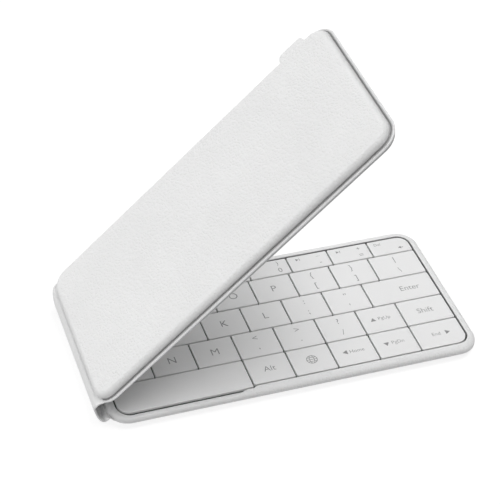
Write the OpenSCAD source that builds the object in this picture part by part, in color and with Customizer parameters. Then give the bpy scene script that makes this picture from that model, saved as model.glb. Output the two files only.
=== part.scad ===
// Folding keyboard: two soft-covered halves of equal size, joined by a leather strip.
// The base half lies on the surface and the lid half is partly open above it.
// Origin: centre of the base's rest face. +X away from the hinge, +Y to the back, +Z up.
//
// Both halves share one set of mouldings. They are drawn in a half frame: hinge wall at
// x = -half_w / 2, outer face at z = 0, key side up. in_lid() turns that frame into the lid's.

/* [Keys] */
// Distance between letter keys along a row
key_pitch = 18; // [16:0.5:19]
// Distance between the four full-height rows
row_pitch = 15; // [14:0.25:18]
// Depth of the top row
top_row_depth = 10; // [9.5:0.25:15]
// Width of the key area, in key pitches
area_units = 8.24; // [8.1:0.02:8.4]
// Width of the space bar, in key pitches
space_units = 3.06; // [2.6:0.01:3.2]
// First boundary of the home row, in key pitches from the hinge side
home_row_units = 1.545; // [1.3:0.005:1.7]
// First boundary of the row above the home row, in key pitches
upper_row_units = 1.035; // [0.9:0.005:1.2]
// First boundary of the top row, in key pitches
top_row_units = 1.044; // [0.9:0.002:1.2]
// Pitch of the top row, in key pitches
top_row_step = 1.029; // [1:0.001:1.04]
// How much deeper the space bar is than its row, towards the front
space_extra = 0.9; // [0:0.1:1.2]
// Gap between neighbouring keys
key_gap = 0.6; // [0.4:0.05:1.2]
// Corner radius of one keycap
key_corner = 0.9; // [0.5:0.1:1.4]
// Height of a keycap, from skirt to top
key_height = 1.3; // [1.2:0.05:1.5]
// Thickness of a keycap's top
key_skin = 0.7; // [0.6:0.05:0.8]
// Thickness of a keycap's skirt
key_wall = 0.8; // [0.6:0.1:1]
// Bevel round the top of a keycap
key_bevel = 0.25; // [0.1:0.05:0.3]
// Travel of a key
key_travel = 1; // [0.8:0.05:1.05]
// How far a keycap lies below the rim
key_recess = 0.1; // [0:0.05:0.3]

/* [Case] */
// Thickness of one half, from outer face to rim
half_t = 6.2; // [6.2:0.1:8]
// Width of the rolled rim, from the key area outwards
rim_w = 2.7; // [2.2:0.1:4]
// Corner radius of the key area
area_corner = 5.2; // [4:0.1:9]
// Radius of the rim's outer roll, as a share of the largest that fits
rim_roll = 0.9; // [0.5:0.05:0.95]
// Radius along the rim's inner top edge
rim_inner_round = 0.6; // [0.3:0.1:0.8]
// Width of the seam flange round each half
flange_out = 1; // [0.6:0.1:2]
// Thickness of the seam flange
flange_t = 0.8; // [0.6:0.05:1]
// Height of the padded panel below the flange
panel_h = 2.8; // [2.8:0.1:3.6]
// Radius along the padded panel's edge
panel_round = 2.3; // [1.5:0.1:2.6]
// Thickness of the cover under the inner parts
cover_floor = 0.8; // [0.6:0.05:0.8]

/* [Hinge] */
// Angle between the halves as drawn
open_angle = 44; // [30:0.5:120]
// Flat length of strip between a half's wall and its fold line
strip_flat = 6.4; // [6:0.1:9]
// Gap between the rims when closed
closed_gap = 0.4; // [0.2:0.1:1]
// Thickness of the leather strip
strip_t = 0.9; // [0.8:0.05:1.2]
// How far the strip's ends lie in from the front and back of the flange
strip_inset = 7.5; // [3:0.5:9]
// How far the strip's loop hangs below the flange at the base
strip_sag = 6; // [3:0.5:7]
// How far the strip's loop reaches out from the base
strip_reach_base = 2.5; // [2:0.5:6]
// How far the strip's loop reaches out from the lid
strip_reach_lid = 3.5; // [2:0.5:8]
// Straight end of the strip at each flange
strip_stub = 0.4; // [0.3:0.1:0.8]
// Gap between a soft part's end and what it is sewn to
seam_gap = 0.05; // [0.02:0.01:0.1]

/* [Flexible cable] */
// Width of the flexible cable inside the strip
flex_w = 12; // [8:0.5:13]
// Thickness of the flexible cable
flex_t = 0.2; // [0.15:0.05:0.25]
// Length of cable that lies on the main board
flex_lap = 2.6; // [2:0.1:3.2]
// Distance from the board's edge to the cable's first bend
flex_bend = 0.4; // [0.2:0.1:0.8]
// Distance from a half's wall to the cable's bend inside it
flex_inset = 1.8; // [1.4:0.1:2.4]
// How far the cable runs under the key plate
flex_drop = 0.6; // [0.5:0.05:0.8]
// Distance from a half's wall to the cable's bend outside it
flex_out = 0.4; // [0.2:0.1:0.8]
// Length of cable inside the lid
flex_tail = 12; // [8:1:20]
// Clearance round the cable in a cover's slot
flex_slot = 0.2; // [0.1:0.05:0.3]

/* [Inner parts] */
// Thickness of the steel key plate
plate_t = 0.4; // [0.3:0.05:0.5]
// Thickness of the switch membrane
membrane_t = 0.2; // [0.15:0.05:0.25]
// How far the key plate reaches under the rim
plate_lap = 1.2; // [0.8:0.1:1.6]
// Side-to-side clearance of seated parts
fit = 0.15; // [0.1:0.05:0.3]
// Clearance round the battery, the main board and the port in their bays
bay_gap = 0.2; // [0.1:0.05:0.3]
// Distance of the main board from the key area's hinge side
bay_edge = 4; // [3:0.5:6]
// Distance of the main board from the key area's back
bay_back = 0.5; // [0.3:0.1:1]
// Gap between the main board and the battery
battery_gap = 6; // [4:0.5:8]
// Battery length
battery_w = 60; // [40:1:70]
// Battery depth
battery_d = 40; // [30:1:46]
// Battery thickness
battery_t = 1.8; // [1.4:0.1:1.8]
// Corner radius of the battery
battery_corner = 1.5; // [1:0.1:2.5]
// Diameter of a battery lead
lead_d = 0.8; // [0.6:0.05:0.9]
// Distance between the two battery leads
lead_step = 1.2; // [1:0.1:1.6]
// Distance of the leads from the main board's back edge
lead_back = 3; // [2:0.1:4]
// Main board length
board_w = 44; // [36:1:46]
// Main board depth
board_d = 18; // [16:0.5:22]
// Main board thickness
board_t = 0.6; // [0.4:0.1:0.8]
// Corner radius of the main board
board_corner = 1; // [0.5:0.1:2]
// Side of a chip
chip_w = 5; // [3:0.5:6]
// Height of the chips and sockets
chip_h = 1; // [0.8:0.05:1.1]
// Distance between the chips
chip_step = 7; // [6:0.5:8]
// Width of a socket's body along the board
socket_w = 3; // [2:0.1:3.5]
// Wall of a socket beside what it holds
socket_wall = 0.4; // [0.3:0.05:0.6]
// Charging port width
port_w = 7.5; // [7:0.1:8]
// Charging port height
port_h = 2.5; // [2.2:0.1:2.6]
// Charging port depth
port_d = 5; // [4.5:0.1:5.5]
// Wall of the charging port's shell
port_wall = 0.3; // [0.2:0.05:0.4]
// Thickness of the tongue in the charging port
port_tongue = 0.6; // [0.5:0.05:0.8]
// Side clearance beside that tongue
port_side = 1.2; // [1:0.1:1.5]
// How far the charging port's mouth lies in from the wall
port_recess = 0.4; // [0.2:0.1:0.8]
// Gap between the main board and the charging port above it
port_rise = 0.05; // [0.02:0.01:0.1]

/* [Key mechanism] */
// Length of a scissor link
link_len = 7; // [6.4:0.1:7.2]
// Half width inside the inner link
link_inner_half = 2.9; // [2.8:0.05:3]
// Width of a link's bars
link_bar = 0.7; // [0.5:0.05:0.8]
// Thickness of a link
link_t = 0.45; // [0.35:0.05:0.5]
// Side clearance between the inner and the outer link
link_clear = 0.15; // [0.1:0.05:0.25]
// Gap between a link's ends and the keycap or the membrane
link_gap = 0.1; // [0.05:0.01:0.15]
// Radius of the pin that joins the links
link_pin_r = 0.2; // [0.15:0.01:0.22]
// Radial clearance of that pin
link_pin_clear = 0.05; // [0.03:0.01:0.06]
// Wall of the eye round that pin
link_eye = 0.25; // [0.2:0.01:0.28]
// Thickness of the hooks and clips that hold the links
hook_t = 0.4; // [0.3:0.05:0.5]
// Clearance between a link's end and its hook or clip
hook_clear = 0.15; // [0.1:0.05:0.2]
// Width of a plate hook
hook_w = 3; // [2:0.1:4]
// Height of a keycap's clip
clip_h = 0.9; // [0.7:0.05:0.95]
// Clearance round a hook in the membrane
slot_clear = 0.1; // [0.05:0.01:0.15]
// Radius of a rubber dome at its foot
dome_r = 2.5; // [2.2:0.05:2.6]
// Radius of the button on top of a dome
button_r = 1.3; // [1.1:0.05:1.5]
// Height of that button's straight side
button_h = 0.55; // [0.4:0.05:0.7]
// Width and height of a dome's foot
dome_foot = 0.3; // [0.25:0.01:0.4]
// Thickness of a dome's wall
dome_skin = 0.35; // [0.3:0.01:0.4]
// Diameter of the stabiliser wire under long keys
wire_d = 0.5; // [0.4:0.05:0.6]
// Length of the stabiliser's arms
wire_arm = 4; // [3:0.1:5]
// Distance of the stabiliser's ends from a keycap's skirt
wire_inset = 1.5; // [1:0.1:2]
// Shortest key that has a stabiliser, in key pitches
wire_from = 2; // [1.8:0.05:2.5]

/* [Pull tab] */
// Length of the tab along the lid's back edge
tab_w = 11.8; // [8:0.1:20]
// How far the tab stands out from the flange
tab_out = 4; // [2.5:0.1:6]
// Corner radius of the tab, seen from above
tab_corner = 2; // [0.5:0.1:2.4]
// Thickness of the tab's band
tab_band = 0.7; // [0.5:0.05:0.8]
// Overlap of the tab's arms with the flange
tab_grip = 0.9; // [0.5:0.05:0.95]
// Distance of the tab's middle from the lid's far edge
tab_from_end = 17.8; // [16.5:0.1:60]

/* [Hidden] */
$fn = 48;
eps = 0.01;

// Rows from the front to the back: [first inner boundary, number of keys, pitch], in key pitches
// counted from the hinge side. The first key runs from 0 to the first boundary. The space bar
// ends where the third key of the row behind it does.
base_rows = [
    [space_units, 6, 1],
    [space_units - 2, 8, 1],
    [home_row_units, 7, 1],
    [upper_row_units, 8, 1],
    [top_row_units, 8, top_row_step]
];
lid_rows = [
    [space_units, 6, 1],
    [space_units - 2, 6, 1],
    [home_row_units, 6, 1],
    [upper_row_units, 7, 1],
    [top_row_units, 7, top_row_step]
];
top_row = 4;

// Outlines of one half
area_w = area_units * key_pitch;
area_d = top_row * row_pitch + top_row_depth;
half_w = area_w + 2 * rim_w;
half_d = area_d + 2 * rim_w;
rim_corner = area_corner + rim_w;
flange_w = half_w + 2 * flange_out;
flange_d = half_d + 2 * flange_out;
flange_corner = rim_corner + flange_out;

// Heights in one half, from its outer face
flange_top = panel_h + flange_t;
flange_mid = panel_h + flange_t / 2;
key_top = half_t - key_recess;
key_bottom = key_top - key_height;
key_under = key_top - key_skin;
plate_z = panel_h;
plate_top = plate_z + plate_t;
membrane_top = plate_top + membrane_t;

// Hinge: two fold lines, one at each edge of the strip's middle part
fold_gap = 2 * (half_t - flange_mid) + closed_gap;
base_fold = [-half_w / 2 - strip_flat, 0, flange_mid];
lid_fold = base_fold + fold_gap * [-sin(open_angle / 2), 0, cos(open_angle / 2)];
lid_dir = [cos(open_angle), 0, sin(open_angle)];
lid_wall = lid_fold + strip_flat * lid_dir;

// Strip: a curve from one flange edge to the other, in the XZ plane
strip_w = flange_d - 2 * strip_inset;
strip_steps = 24;
strip_x = -flange_w / 2 - seam_gap;
strip_start = [strip_x, flange_mid];
strip_end = lid_xz([strip_x, flange_mid]);
strip_curve_a = strip_start - [strip_stub, 0];
strip_curve_b = lid_xz([strip_x - strip_stub, flange_mid]);
strip_path = concat(
    [strip_start],
    [for (i = [0 : strip_steps])
        bezier(
            strip_curve_a,
            strip_curve_a - [strip_reach_base, strip_sag],
            strip_curve_b - strip_reach_lid * [lid_dir[0], lid_dir[2]],
            strip_curve_b,
            i / strip_steps)],
    [strip_end]
);

// Inner parts of the base, seen from above
board_x = -area_w / 2 + bay_edge + board_w / 2;
board_back = area_d / 2 - bay_back;
board_y = board_back - board_d / 2;
board_z = cover_floor + bay_gap / 2;
board_top = board_z + board_t;
port_x = key_x(base_rows, top_row, 1);
port_back = half_d / 2 - port_recess;
port_mid = port_back - port_d / 2;
port_z = board_z + port_h / 2 + port_rise;
port_foot = port_z - port_h / 2 - port_rise;
battery_x = board_x + board_w / 2 + battery_gap + battery_w / 2;
battery_y = board_back - battery_d / 2;
battery_z = cover_floor + bay_gap / 2;
lead_y = board_back - lead_back;
lead_z = board_top + chip_h / 2;
lead_bite = lead_d / 4;
socket_d = lead_step + lead_d + 2 * socket_wall;

// Flexible cable, in the XZ plane: along the board, up through the base's wall, round the
// strip, and in under the lid's key plate
flex_y = flange_d / 2 - flange_corner - flex_w / 2 - 2 * flex_slot;
flex_first = -area_w / 2 + bay_edge + flex_bend;
flex_bends = [
    [-half_w / 2 + flex_inset, panel_h - flex_drop],
    [-half_w / 2 - flex_out, flange_mid]
];
flex_run = concat(
    [
        [flex_first + flex_lap, board_top + flex_t / 2],
        [flex_first, board_top + flex_t / 2]
    ],
    flex_bends
);
flex_end = concat([[-half_w / 2 + flex_tail, panel_h - flex_drop]], flex_bends);
flex_path = concat(
    flex_run,
    strip_path,
    [for (i = [len(flex_end) - 1 : -1 : 0]) lid_xz(flex_end[i])]
);
flex_mouth = [[-half_w / 2 - 2 * flange_out, flange_mid]];

// Scissor links and what holds them
link_mid_z = (key_under + membrane_top) / 2;
link_rise = key_under - membrane_top - link_t - 2 * link_gap;
link_tilt = asin(link_rise / (link_len - link_t));
link_outer_half = link_inner_half + link_bar + link_clear;
hook_y = link_len / 2 + hook_clear + hook_t / 2;
hook_h = key_bottom - key_travel - link_gap - plate_top;
clip_w = link_outer_half + link_bar - link_inner_half;

// A point of a half's XZ plane, carried into the lid
function lid_xz(p) =
    [lid_wall[0], lid_wall[2]]
    + (p[0] + half_w / 2) * [lid_dir[0], lid_dir[2]]
    + (p[1] - flange_mid) * [lid_dir[2], -lid_dir[0]];
function bezier(a, b, c, d, t) =
    pow(1 - t, 3) * a + 3 * t * pow(1 - t, 2) * b + 3 * t * t * (1 - t) * c + pow(t, 3) * d;

// Distance of a key boundary from the half's middle
function key_x(rows, row, i) =
    -area_w / 2 + key_pitch * (
        i == 0 ? 0
        : i == rows[row][1] ? area_units
        : rows[row][0] + (i - 1) * rows[row][2]);
function row_y(row) = -area_d / 2 + row * row_pitch;
function row_depth(row) = row == top_row ? top_row_depth : row_pitch;
function key_w(rows, row, i) = key_x(rows, row, i + 1) - key_x(rows, row, i) - key_gap;
function key_d(row) = row_depth(row) - key_gap;
function key_mid(rows, row, i) =
    [(key_x(rows, row, i) + key_x(rows, row, i + 1)) / 2, row_y(row) + row_depth(row) / 2];

// ---- shared forms ----

// Places a half's frame in the lid
module in_lid() {
    translate(lid_wall)
        rotate([0, -open_angle, 0])
            mirror([0, 0, 1])
                translate([half_w / 2, 0, -flange_mid])
                    children();
}

module rounded_rect(w, d, r) {
    square([w - 2 * r, d], center = true);
    square([w, d - 2 * r], center = true);
    for (x = [-1, 1], y = [-1, 1])
        translate([x * (w / 2 - r), y * (d / 2 - r)])
            circle(r);
}

module plate_of(w, d, r, z, h) {
    translate([0, 0, z])
        linear_extrude(h)
            rounded_rect(w, d, r);
}

// Carries a 2-D profile round a rounded rectangle. In the profile x is the distance outwards
// from the path's corner centres and y is the height.
module round_path(w, d, r) {
    run_x = w / 2 - r;
    run_y = d / 2 - r;
    for (side = [0, 1]) {
        rotate(side * 180) {
            translate([0, run_y, 0])
                rotate([90, 0, 90])
                    linear_extrude(2 * run_x, center = true)
                        children();
            translate([run_x, 0, 0])
                rotate([90, 0, 0])
                    linear_extrude(2 * run_y, center = true)
                        children();
        }
    }
    for (x = [0, 1], y = [0, 1])
        mirror([x, 0, 0])
            mirror([0, y, 0])
                translate([run_x, run_y, 0])
                    rotate_extrude(angle = 90)
                        children();
}

// Band of even thickness along points in the XZ plane, drawn w wide along Y
function unit(v) = v / norm(v);
function band_normal(p, i) =
    let (
        a = p[max(i - 1, 0)],
        b = p[min(i + 1, len(p) - 1)],
        d = unit(b - a)
    ) [-d[1], d[0]];
module band(p, t, w) {
    side_a = [for (i = [0 : len(p) - 1]) p[i] + band_normal(p, i) * t / 2];
    side_b = [for (i = [len(p) - 1 : -1 : 0]) p[i] - band_normal(p, i) * t / 2];
    rotate([90, 0, 0])
        linear_extrude(w, center = true)
            polygon(concat(side_a, side_b));
}

// ---- mouldings of one half ----

// Padded cover: a flat panel with a round edge, and the seam flange
module cover_body() {
    plate_of(flange_w, flange_d, flange_corner, panel_h, flange_t);
    plate_of(half_w, half_d, rim_corner, panel_round, panel_h - panel_round + eps);
    plate_of(half_w - 2 * panel_round, half_d - 2 * panel_round, rim_corner - panel_round,
        0, panel_h);
    round_path(half_w, half_d, rim_corner)
        translate([rim_corner - panel_round, panel_round])
            intersection() {
                circle(panel_round);
                translate([0, -panel_round])
                    square(panel_round);
            }
}

module plate_outline(grow, z, h) {
    lap = plate_lap + grow;
    plate_of(area_w + 2 * lap, area_d + 2 * lap, area_corner + lap, z, h);
}

module half_cover() {
    difference() {
        cover_body();
        plate_outline(fit, panel_h, flange_t + eps);
    }
}

// Rolled rim round the keys, flush with the flange's edge
module rim_profile() {
    inner = area_corner + key_gap / 2;
    width = flange_corner - inner;
    height = half_t - flange_top;
    roll = rim_roll * min(width - rim_inner_round, height);
    translate([inner, flange_top]) {
        square([width, height - roll]);
        square([width - roll, height - rim_inner_round]);
        translate([rim_inner_round, 0])
            square([width - roll - rim_inner_round, height]);
        translate([width - roll, height - roll])
            intersection() {
                circle(roll);
                square(roll);
            }
        translate([rim_inner_round, height - rim_inner_round])
            circle(rim_inner_round);
    }
}

module half_frame() {
    difference() {
        round_path(half_w, half_d, rim_corner)
            rim_profile();
        intersection() {
            space_area(key_gap / 2, flange_top - eps, half_t);
            translate([key_x(base_rows, 0, 1) - area_w - key_gap / 2, -area_d, 0])
                cube([area_w + key_gap / 2, area_d, 2 * half_t]);
        }
    }
}

// Outline that the keys fill; the space bar's reaches further to the front
module key_area(grow, z, h) {
    plate_of(area_w + 2 * grow, area_d + 2 * grow, area_corner + grow, z, h);
}
module space_area(grow, z, h) {
    translate([0, -space_extra / 2, 0])
        plate_of(area_w + 2 * grow, area_d + space_extra + 2 * grow, area_corner + grow, z, h);
}

// ---- key mechanism ----

module at_keys(rows) {
    for (row = [0 : top_row], i = [0 : rows[row][1] - 1])
        translate([key_mid(rows, row, i)[0], key_mid(rows, row, i)[1], 0])
            children();
}

module link_frame(half_inside) {
    difference() {
        cube([2 * (half_inside + link_bar), link_len, link_t], center = true);
        cube([2 * half_inside, link_len - 2 * link_bar, 2 * link_t], center = true);
    }
}

// Two links crossed at their middle: the inner one carries the pins
module scissor() {
    eye_r = link_pin_r + link_pin_clear + link_eye;
    translate([0, 0, link_mid_z]) {
        rotate([link_tilt, 0, 0]) {
            link_frame(link_inner_half);
            for (side = [-1, 1])
                translate([side * (link_outer_half + link_bar / 2 - link_clear / 2), 0, 0])
                    rotate([0, 90, 0])
                        cylinder(r = link_pin_r, h = link_bar + link_clear, center = true);
        }
        rotate([-link_tilt, 0, 0])
            difference() {
                union() {
                    link_frame(link_outer_half);
                    for (side = [-1, 1])
                        translate([side * (link_outer_half + link_bar / 2), 0, 0])
                            rotate([0, 90, 0])
                                cylinder(r = eye_r, h = link_bar, center = true);
                }
                rotate([0, 90, 0])
                    cylinder(r = link_pin_r + link_pin_clear, h = 4 * link_outer_half, center = true);
            }
    }
}

module rod(a, b, d) {
    v = b - a;
    translate(a)
        rotate([0, acos(v[2] / norm(v)), atan2(v[1], v[0])])
            cylinder(d = d, h = norm(v));
    translate(b)
        sphere(d = d);
}

// Wire that keeps a long key level: a bar under the key with an arm down at each end
module stabiliser(w, d) {
    half = w / 2 - key_wall - wire_inset;
    front = -d / 2 + key_wall + wire_d;
    back = front + wire_arm;
    high = key_under - link_gap - wire_d / 2;
    low = membrane_top + link_gap + wire_d / 2;
    translate([-half, back, low])
        sphere(d = wire_d);
    rod([-half, back, low], [-half, front, high], wire_d);
    rod([-half, front, high], [half, front, high], wire_d);
    rod([half, front, high], [half, back, low], wire_d);
}

// The top row is too shallow for a stabiliser beside its links
module half_scissors(rows) {
    at_keys(rows)
        scissor();
    for (row = [0 : top_row - 1], i = [0 : rows[row][1] - 1])
        if (key_w(rows, row, i) > wire_from * key_pitch)
            translate([key_mid(rows, row, i)[0], key_mid(rows, row, i)[1], 0])
                stabiliser(key_w(rows, row, i), key_d(row));
}

// Rubber dome: a hollow cone on a flat foot. The stem inside its button stands one key travel
// above the membrane.
module dome() {
    h = key_under - membrane_top - seam_gap;
    stem = key_travel + seam_gap;
    translate([0, 0, membrane_top])
        rotate_extrude()
            polygon([
                [dome_r - 2 * dome_skin, 0],
                [dome_r, 0],
                [dome_r, dome_foot],
                [button_r, h - button_h],
                [button_r, h],
                [0, h],
                [0, stem],
                [button_r - dome_skin, stem]
            ]);
}

module half_domes(rows) {
    at_keys(rows)
        dome();
}

// Steel plate with two upright hooks for each key's links
module half_plate(rows) {
    plate_outline(0, plate_z, plate_t);
    at_keys(rows)
        for (side = [-1, 1])
            translate([0, side * hook_y, plate_z + (plate_t + hook_h) / 2])
                cube([hook_w, hook_t, plate_t + hook_h], center = true);
}

module half_membrane(rows) {
    difference() {
        plate_outline(0, plate_top, membrane_t);
        at_keys(rows)
            for (side = [-1, 1])
                translate([0, side * hook_y, plate_top])
                    cube([hook_w + 2 * slot_clear, hook_t + 2 * slot_clear, 4 * membrane_t],
                        center = true);
    }
}

// ---- keycaps ----

// Block with a bevel round its top, bounded by the key area's outline
module key_block(w, d, z, h, bevel) {
    intersection() {
        linear_extrude(z + h)
            rounded_rect(w, d, key_corner);
        rotate([90, 0, 0])
            linear_extrude(2 * d, center = true)
                bevel_profile(w, z, h, bevel);
        rotate([90, 0, 90])
            linear_extrude(2 * w, center = true)
                bevel_profile(d, z, h, bevel);
    }
}
module bevel_profile(w, z, h, bevel) {
    polygon([
        [-w / 2, z],
        [w / 2, z],
        [w / 2, z + h - bevel],
        [w / 2 - bevel, z + h],
        [-w / 2 + bevel, z + h],
        [-w / 2, z + h - bevel]
    ]);
}

// Keycap: a hollow cap with four clips for the upper ends of its links
module keycap(rows, row, i) {
    w = key_w(rows, row, i);
    extra = row == 0 && i == 0 ? space_extra : 0;
    d = key_d(row) + extra;
    mid = key_mid(rows, row, i);
    inside_w = w - 2 * key_wall;
    inside_d = d - 2 * key_wall;
    skirt = key_height - key_skin;
    intersection() {
        translate([mid[0], mid[1] - extra / 2, 0])
            difference() {
                key_block(w, d, key_bottom, key_height, key_bevel);
                translate([-inside_w / 2, -inside_d / 2, key_bottom - eps])
                    cube([inside_w, inside_d, skirt + eps]);
            }
        if (extra > 0)
            space_area(-key_gap / 2, 0, 2 * half_t);
        else
            key_area(-key_gap / 2, 0, 2 * half_t);
    }
    for (x = [-1, 1], y = [-1, 1])
        translate([
            mid[0] + x * (link_inner_half + clip_w / 2),
            mid[1] + y * hook_y,
            key_under + eps - clip_h / 2
        ])
            cube([clip_w, hook_t, clip_h + 2 * eps], center = true);
}

// ---- nodes of the base half ----

cover_color = [0.9, 0.9, 0.9];
key_color = [0.88, 0.88, 0.88];

module bay(x, y, w, d, z) {
    translate([x - w / 2 - bay_gap, y - d / 2 - bay_gap, z])
        cube([w + 2 * bay_gap, d + 2 * bay_gap, panel_h - z + eps]);
}

module base_cover() {
    color(cover_color)
        difference() {
            half_cover();
            bay(board_x, board_y, board_w, board_d, cover_floor);
            bay(battery_x, battery_y, battery_w, battery_d, cover_floor);
            bay(board_x + board_w / 2 + battery_gap / 2, lead_y, 2 * battery_gap, socket_d,
                cover_floor);
            translate([port_x, half_d / 2, (port_foot + flange_top) / 2])
                cube([port_w + 2 * bay_gap, 2 * (half_d / 2 - port_back + port_d + bay_gap),
                    flange_top - port_foot + eps], center = true);
            translate([0, flex_y, 0])
                band(concat(flex_run, flex_mouth), flex_t + 2 * flex_slot,
                    flex_w + 2 * flex_slot);
        }
}

module base_frame() {
    color(cover_color)
        half_frame();
}

module port_notch() {
    translate([port_x, port_back, port_z])
        cube([port_w + 2 * bay_gap, 2 * (port_d + bay_gap), port_h + 2 * port_rise],
            center = true);
}

module base_plate() {
    color("silver")
        difference() {
            half_plate(base_rows);
            port_notch();
        }
}

module base_membrane() {
    color([0.55, 0.6, 0.62])
        difference() {
            half_membrane(base_rows);
            port_notch();
        }
}

module base_domes() {
    color([0.85, 0.85, 0.82])
        half_domes(base_rows);
}

module base_scissors() {
    color([0.95, 0.95, 0.95])
        half_scissors(base_rows);
}

// Flat battery with its two leads
module battery() {
    color([0.72, 0.73, 0.75]) {
        translate([battery_x, battery_y, battery_z])
            linear_extrude(battery_t)
                rounded_rect(battery_w, battery_d, battery_corner);
        for (side = [-1, 1])
            translate([
                battery_x - battery_w / 2 + lead_bite,
                lead_y + side * lead_step / 2,
                lead_z
            ])
                rotate([0, -90, 0])
                    cylinder(d = lead_d, h = battery_gap + lead_bite);
    }
}

// Main board with three chips, the leads' socket and the cable's socket
module main_board() {
    color([0.1, 0.35, 0.2])
        difference() {
            union() {
                translate([board_x, board_y, board_z])
                    linear_extrude(board_t)
                        rounded_rect(board_w, board_d, board_corner);
                for (k = [1 : 3])
                    on_board(board_x + board_w / 2 - socket_w - k * chip_step + chip_step / 2,
                        board_y, chip_w, chip_w);
                on_board(board_x + board_w / 2 - socket_w / 2, lead_y, socket_w, socket_d);
                on_board(flex_first + flex_lap + socket_w / 4, flex_y, socket_w / 2, flex_w);
            }
            port_notch();
        }
}
module on_board(x, y, w, d) {
    translate([x, y, board_top + chip_h / 2 - eps])
        cube([w, d, chip_h], center = true);
}

module charging_port() {
    color("silver")
        translate([port_x, port_back, port_z])
            rotate([90, 0, 0]) {
                linear_extrude(port_d)
                    difference() {
                        rounded_rect(port_w, port_h, port_h * 0.4);
                        rounded_rect(port_w - 2 * port_wall, port_h - 2 * port_wall,
                            port_h * 0.4 - port_wall);
                    }
                translate([0, 0, port_d - port_wall])
                    linear_extrude(port_wall)
                        rounded_rect(port_w, port_h, port_h * 0.4);
                translate([0, 0, port_tongue])
                    linear_extrude(port_d - port_tongue)
                        square([port_w - 2 * port_side, port_tongue], center = true);
            }
}

// ---- hinge ----

// Fills the corner between the strip's end and the flange's round corner
module strip_gusset() {
    translate([0, 0, flange_mid - strip_t / 2])
        linear_extrude(strip_t)
            difference() {
                translate([strip_x - strip_stub, -strip_w / 2])
                    square([flange_corner / 2, strip_w]);
                rounded_rect(flange_w + 2 * seam_gap, flange_d + 2 * seam_gap,
                    flange_corner + seam_gap);
            }
}

module hinge_strip() {
    color(cover_color)
        difference() {
            union() {
                band(strip_path, strip_t, strip_w);
                strip_gusset();
                in_lid()
                    strip_gusset();
            }
            translate([0, flex_y, 0])
                band(flex_path, flex_t + 2 * seam_gap, flex_w + 2 * flex_slot);
        }
}

module flex_cable() {
    color([0.8, 0.55, 0.2])
        translate([0, flex_y, 0])
            band(flex_path, flex_t, flex_w);
}

// ---- nodes of the lid half ----

module lid_cover() {
    color(cover_color)
        in_lid()
            difference() {
                half_cover();
                translate([0, flex_y, 0])
                    band(concat([flex_end[0] + [flex_slot, 0]], flex_end, flex_mouth),
                        flex_t + 2 * flex_slot, flex_w + 2 * flex_slot);
            }
}

// The tab's inner arm lies in a notch between the rim and the flange
module tab_notch() {
    translate([
        flange_w / 2 - tab_from_end - tab_w / 2 - seam_gap,
        flange_d / 2 - tab_grip - seam_gap,
        flange_top - eps
    ])
        cube([tab_w + 2 * seam_gap, tab_out, tab_band + seam_gap + eps]);
}

module lid_frame() {
    color(cover_color)
        in_lid()
            difference() {
                half_frame();
                tab_notch();
            }
}

module lid_plate() {
    color("silver")
        in_lid()
            half_plate(lid_rows);
}

module lid_membrane() {
    color([0.55, 0.6, 0.62])
        in_lid()
            half_membrane(lid_rows);
}

module lid_domes() {
    color([0.85, 0.85, 0.82])
        in_lid()
            half_domes(lid_rows);
}

module lid_scissors() {
    color([0.95, 0.95, 0.95])
        in_lid()
            half_scissors(lid_rows);
}

// Folded loop on the lid's back edge: two arms hold the flange between them
module pull_tab() {
    loop_h = flange_t + 2 * tab_band;
    reach = tab_grip + tab_out - loop_h / 2;
    color(cover_color)
        in_lid()
            translate([flange_w / 2 - tab_from_end, flange_d / 2 - tab_grip, flange_mid])
                intersection() {
                    rotate([90, 0, 90])
                        linear_extrude(tab_w, center = true)
                            difference() {
                                union() {
                                    translate([0, -loop_h / 2])
                                        square([reach, loop_h]);
                                    translate([reach, 0])
                                        circle(d = loop_h);
                                }
                                translate([-eps, -flange_t / 2])
                                    square([reach, flange_t]);
                                translate([reach, 0])
                                    circle(d = flange_t);
                            }
                    linear_extrude(2 * loop_h, center = true)
                        rounded_rect(tab_w, 2 * (tab_grip + tab_out), tab_corner);
                }
}

// ---- keys ----

module base_key(row, i) {
    color(key_color)
        keycap(base_rows, row, i);
}

module lid_key_row(row) {
    color(key_color)
        in_lid()
            for (i = [0 : lid_rows[row][1] - 1])
                keycap(lid_rows, row, i);
}

module key_space() { base_key(0, 0); }
module key_alt() { base_key(0, 1); }
module key_globe() { base_key(0, 2); }
module key_home() { base_key(0, 3); }
module key_page_down() { base_key(0, 4); }
module key_end() { base_key(0, 5); }
module key_b() { base_key(1, 0); }
module key_n() { base_key(1, 1); }
module key_m() { base_key(1, 2); }
module key_comma() { base_key(1, 3); }
module key_period() { base_key(1, 4); }
module key_slash() { base_key(1, 5); }
module key_page_up() { base_key(1, 6); }
module key_shift() { base_key(1, 7); }
module key_h() { base_key(2, 0); }
module key_j() { base_key(2, 1); }
module key_k() { base_key(2, 2); }
module key_l() { base_key(2, 3); }
module key_semicolon() { base_key(2, 4); }
module key_quote() { base_key(2, 5); }
module key_enter() { base_key(2, 6); }
module key_y() { base_key(3, 0); }
module key_u() { base_key(3, 1); }
module key_i() { base_key(3, 2); }
module key_o() { base_key(3, 3); }
module key_p() { base_key(3, 4); }
module key_bracket_left() { base_key(3, 5); }
module key_bracket_right() { base_key(3, 6); }
module key_backslash() { base_key(3, 7); }
module key_6() { base_key(4, 0); }
module key_7() { base_key(4, 1); }
module key_8() { base_key(4, 2); }
module key_9() { base_key(4, 3); }
module key_0() { base_key(4, 4); }
module key_minus() { base_key(4, 5); }
module key_equals() { base_key(4, 6); }
module key_backspace() { base_key(4, 7); }
module lid_keys_front() { lid_key_row(0); }
module lid_keys_shift() { lid_key_row(1); }
module lid_keys_home() { lid_key_row(2); }
module lid_keys_upper() { lid_key_row(3); }
module lid_keys_top() { lid_key_row(4); }

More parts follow.
